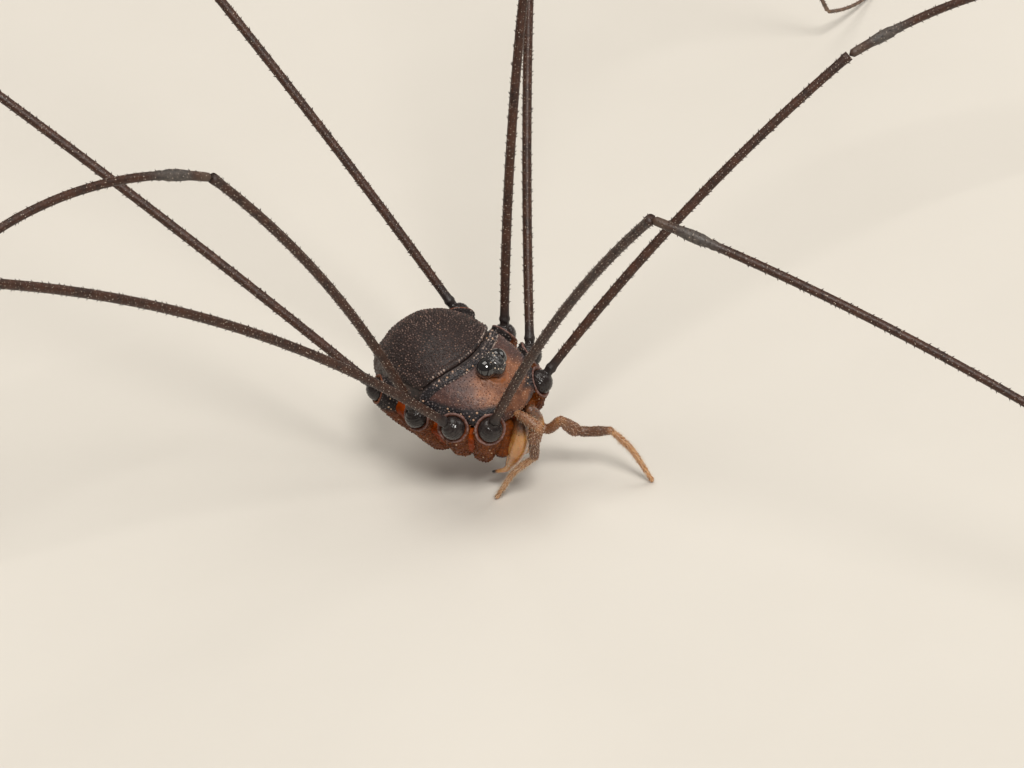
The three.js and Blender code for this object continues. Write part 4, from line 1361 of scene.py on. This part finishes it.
def add_feeler(side_name):
    """A feeler's three pieces with their hairs and granules."""
    name = f"feeler_{side_name}"
    joints = spot(FEELERS[side_name])
    tip = feeler_tip(side_name)
    crest = (joints[-1] + tip) / 2 + (0, 0, FEELER_BOW)
    routes = {
        "femur": curve_through(joints[:3], 60),
        "tibia": curve_through(joints[2:], 70),
        "tarsus": curve_through([joints[-1], crest, tip], 80),
    }
    hairs, bumps = [], []
    for k, (part, route) in enumerate(routes.items()):
        hair_spacing, bump_spacing = FEELER_PIECES[part][3:]
        skin = feeler_skin(side_name, part, route, 31 + k)
        cover(f"{name}_{part}", skin, "feeler")
        hairs.append(skin.scatter(hair_spacing, 41 + k, clear_of_floor))
        bumps.append(skin.scatter(bump_spacing, 51 + k, clear_of_floor))
    rng = np.random.default_rng(61)
    hairs = joined(hairs)
    longer = np.where(hairs["uv"][:, 0] > 2 / 3, 1.6, 1.0)
    lengths = (0.06 + 0.07 * rng.random(len(longer))) * longer
    tufts(f"{name}_hairs", hairs, from_body, 0.0075, lengths, 1.0, SPIKE, "feeler_hair")
    bumps = joined(bumps)
    count = len(bumps["points"])
    bumps["top"] = rng.random(count)
    bumps["pale"] = rng.random(count)
    # The feeler's own dark tone darkens its granules.
    bumps["soot"] = bumps["dark"] * 0.5
    sizes = 0.016 + 0.014 * rng.random(count)
    tufts(f"{name}_granules", bumps, from_body, sizes, sizes * 0.9, 0.3, DOME, "hip_granule")


def add_pincer(side_name, side):
    """A smooth hand that narrows into a hooked claw."""
    name = f"pincer_{side_name}"
    rows, around = PINCER_GRID
    share = np.linspace(0, 1, rows)
    route = curve_through(spot(PINCER_JOINTS, side), rows)
    radii = np.interp(share, np.linspace(0, 1, len(PINCER_RADII)), PINCER_RADII)
    radii = np.convolve(np.pad(radii, 6, mode="edge"), np.ones(13) / 13, "valid")
    radii[0], radii[-1] = 0.04, 0.012
    radii[1], radii[-2] = 0.12, 0.03
    points = swept(route, radii, around, spot((0, 1, 0)))
    line = bulge(np.mod(turns(around) - 1.9, 2 * math.pi), math.pi, 0.12, 1)
    line_depth = -0.02 * smooth_step(0.15, 0.3, share) * smooth_step(0.75, 0.6, share)
    skin = Skin(points, from_body).push(line_depth[:, None] * line + 0.006 * ripples(points, 0.5, 71))
    root = smooth_step(0.24, 0.10, share)
    skin.shaded(root=root, tip=smooth_step(0.90, 0.96, share), soot=root * 0.2)
    cover(name, skin, "pincer")
    add_granules(f"{name}_granules", skin, 0.09, 0.020, 421, "hip_granule",
                 lambda roots: roots["root"] > 0.45)


def add_mouth_lobe(side_name, side):
    name = f"mouth_lobe_{side_name}"
    top, foot = spot(LOBE_TOP, side), spot(LOBE_FOOT, side)
    rows, around = LOBE_GRID
    share = np.linspace(-0.2, 1.2, rows)
    beyond_ends = np.maximum(np.abs(share - 0.5) - 0.5, 0)
    radii = LOBE_RADIUS * np.sqrt(np.clip(1 - beyond_ends ** 2 / 0.042, 0.002, 1))
    points = swept(top + (foot - top) * share[:, None], radii, around, spot((0, 1, 0)))
    skin = Skin(points, from_body).push(0.02 * ripples(points, 0.3, 81))
    # Darker towards its low end.
    skin.shaded(rim=0, cup=0, soot=smooth_step(0.9, 1.2, share))
    cover(name, skin, "hip")
    add_granules(f"{name}_granules", skin, 0.10, 0.026, 411, "hip_granule")


def clear_of_eyes(roots):
    """The roots on the mound's upper side that no eye covers."""
    points = roots["points"]
    free = points[:, 2] > MOUND_CENTRE[2] + 0.05
    for _, side in SIDES:
        free &= np.linalg.norm(points - eye_middle(side), axis=1) > EYE_RADIUS + 0.03
    return free


def add_head():
    mound = mound_skin()
    cover("eye_mound", mound, "mound")
    add_granules("eye_mound_granules", mound, 0.085, 0.030, 401, "mound_granule", clear_of_eyes)
    for side_name, side in SIDES:
        cover(f"eye_{side_name}", eye_skin(side), "eye")
        skin_piece(f"eye_{side_name}_rim", eye_rim_skin(side), "mound")
        add_pincer(side_name, side)
        add_mouth_lobe(side_name, side)
        add_feeler(side_name)


# The scene

def add_floor():
    mesh = bpy.data.meshes.new("floor")
    corners = [(x * FLOOR_REACH, y * FLOOR_REACH, 0) for x, y in ((-1, -1), (1, -1), (1, 1), (-1, 1))]
    mesh.from_pydata(corners, [], [(0, 1, 2, 3)])
    mesh.materials.append(floor_paint())
    floor = bpy.data.objects.new("floor", mesh)
    bpy.context.scene.collection.objects.link(floor)


def add_camera():
    right, up, back = (Vector(axis) for axis in (CAMERA_RIGHT, CAMERA_UP, CAMERA_BACK))
    place = Vector(MIDDLE) + right * CAMERA_OFFSET[0] + up * CAMERA_OFFSET[1] + back * CAMERA_DISTANCE
    data = bpy.data.cameras.new("camera")
    data.sensor_width = SENSOR_WIDTH
    data.lens = FOCAL_PIXELS / PICTURE_WIDTH * SENSOR_WIDTH
    data.clip_start = NEAREST_SEEN
    camera = bpy.data.objects.new("camera", data)
    turn = Matrix((right, up, back)).transposed().to_4x4()
    camera.matrix_world = Matrix.Translation(place * MM) @ turn
    bpy.context.scene.collection.objects.link(camera)
    bpy.context.scene.camera = camera


def add_light(name, place, size, power, colour):
    """A square soft light aimed at the body."""
    data = bpy.data.lights.new(name, "AREA")
    data.size = size
    data.energy = power
    data.color = colour
    light = bpy.data.objects.new(name, data)
    target = Vector(MIDDLE * MM)
    light.location = target + Vector(place)
    light.rotation_euler = (target - light.location).to_track_quat("-Z", "Y").to_euler()
    bpy.context.scene.collection.objects.link(light)


def add_sky():
    world = bpy.data.worlds.new("soft_sky")
    world.use_nodes = True
    background = world.node_tree.nodes["Background"]
    background.inputs["Color"].default_value = SKY_COLOUR
    background.inputs["Strength"].default_value = SKY_STRENGTH
    bpy.context.scene.world = world
    bpy.context.scene.view_settings.view_transform = "Standard"


add_shields()
add_underside()
add_hips()
add_head()
for side_name, side in SIDES:
    for pair in range(len(HIPS)):
        add_leg(side_name, side, pair)
add_floor()
for name, light in LIGHTS.items():
    add_light(name, *light)
add_sky()
add_camera()
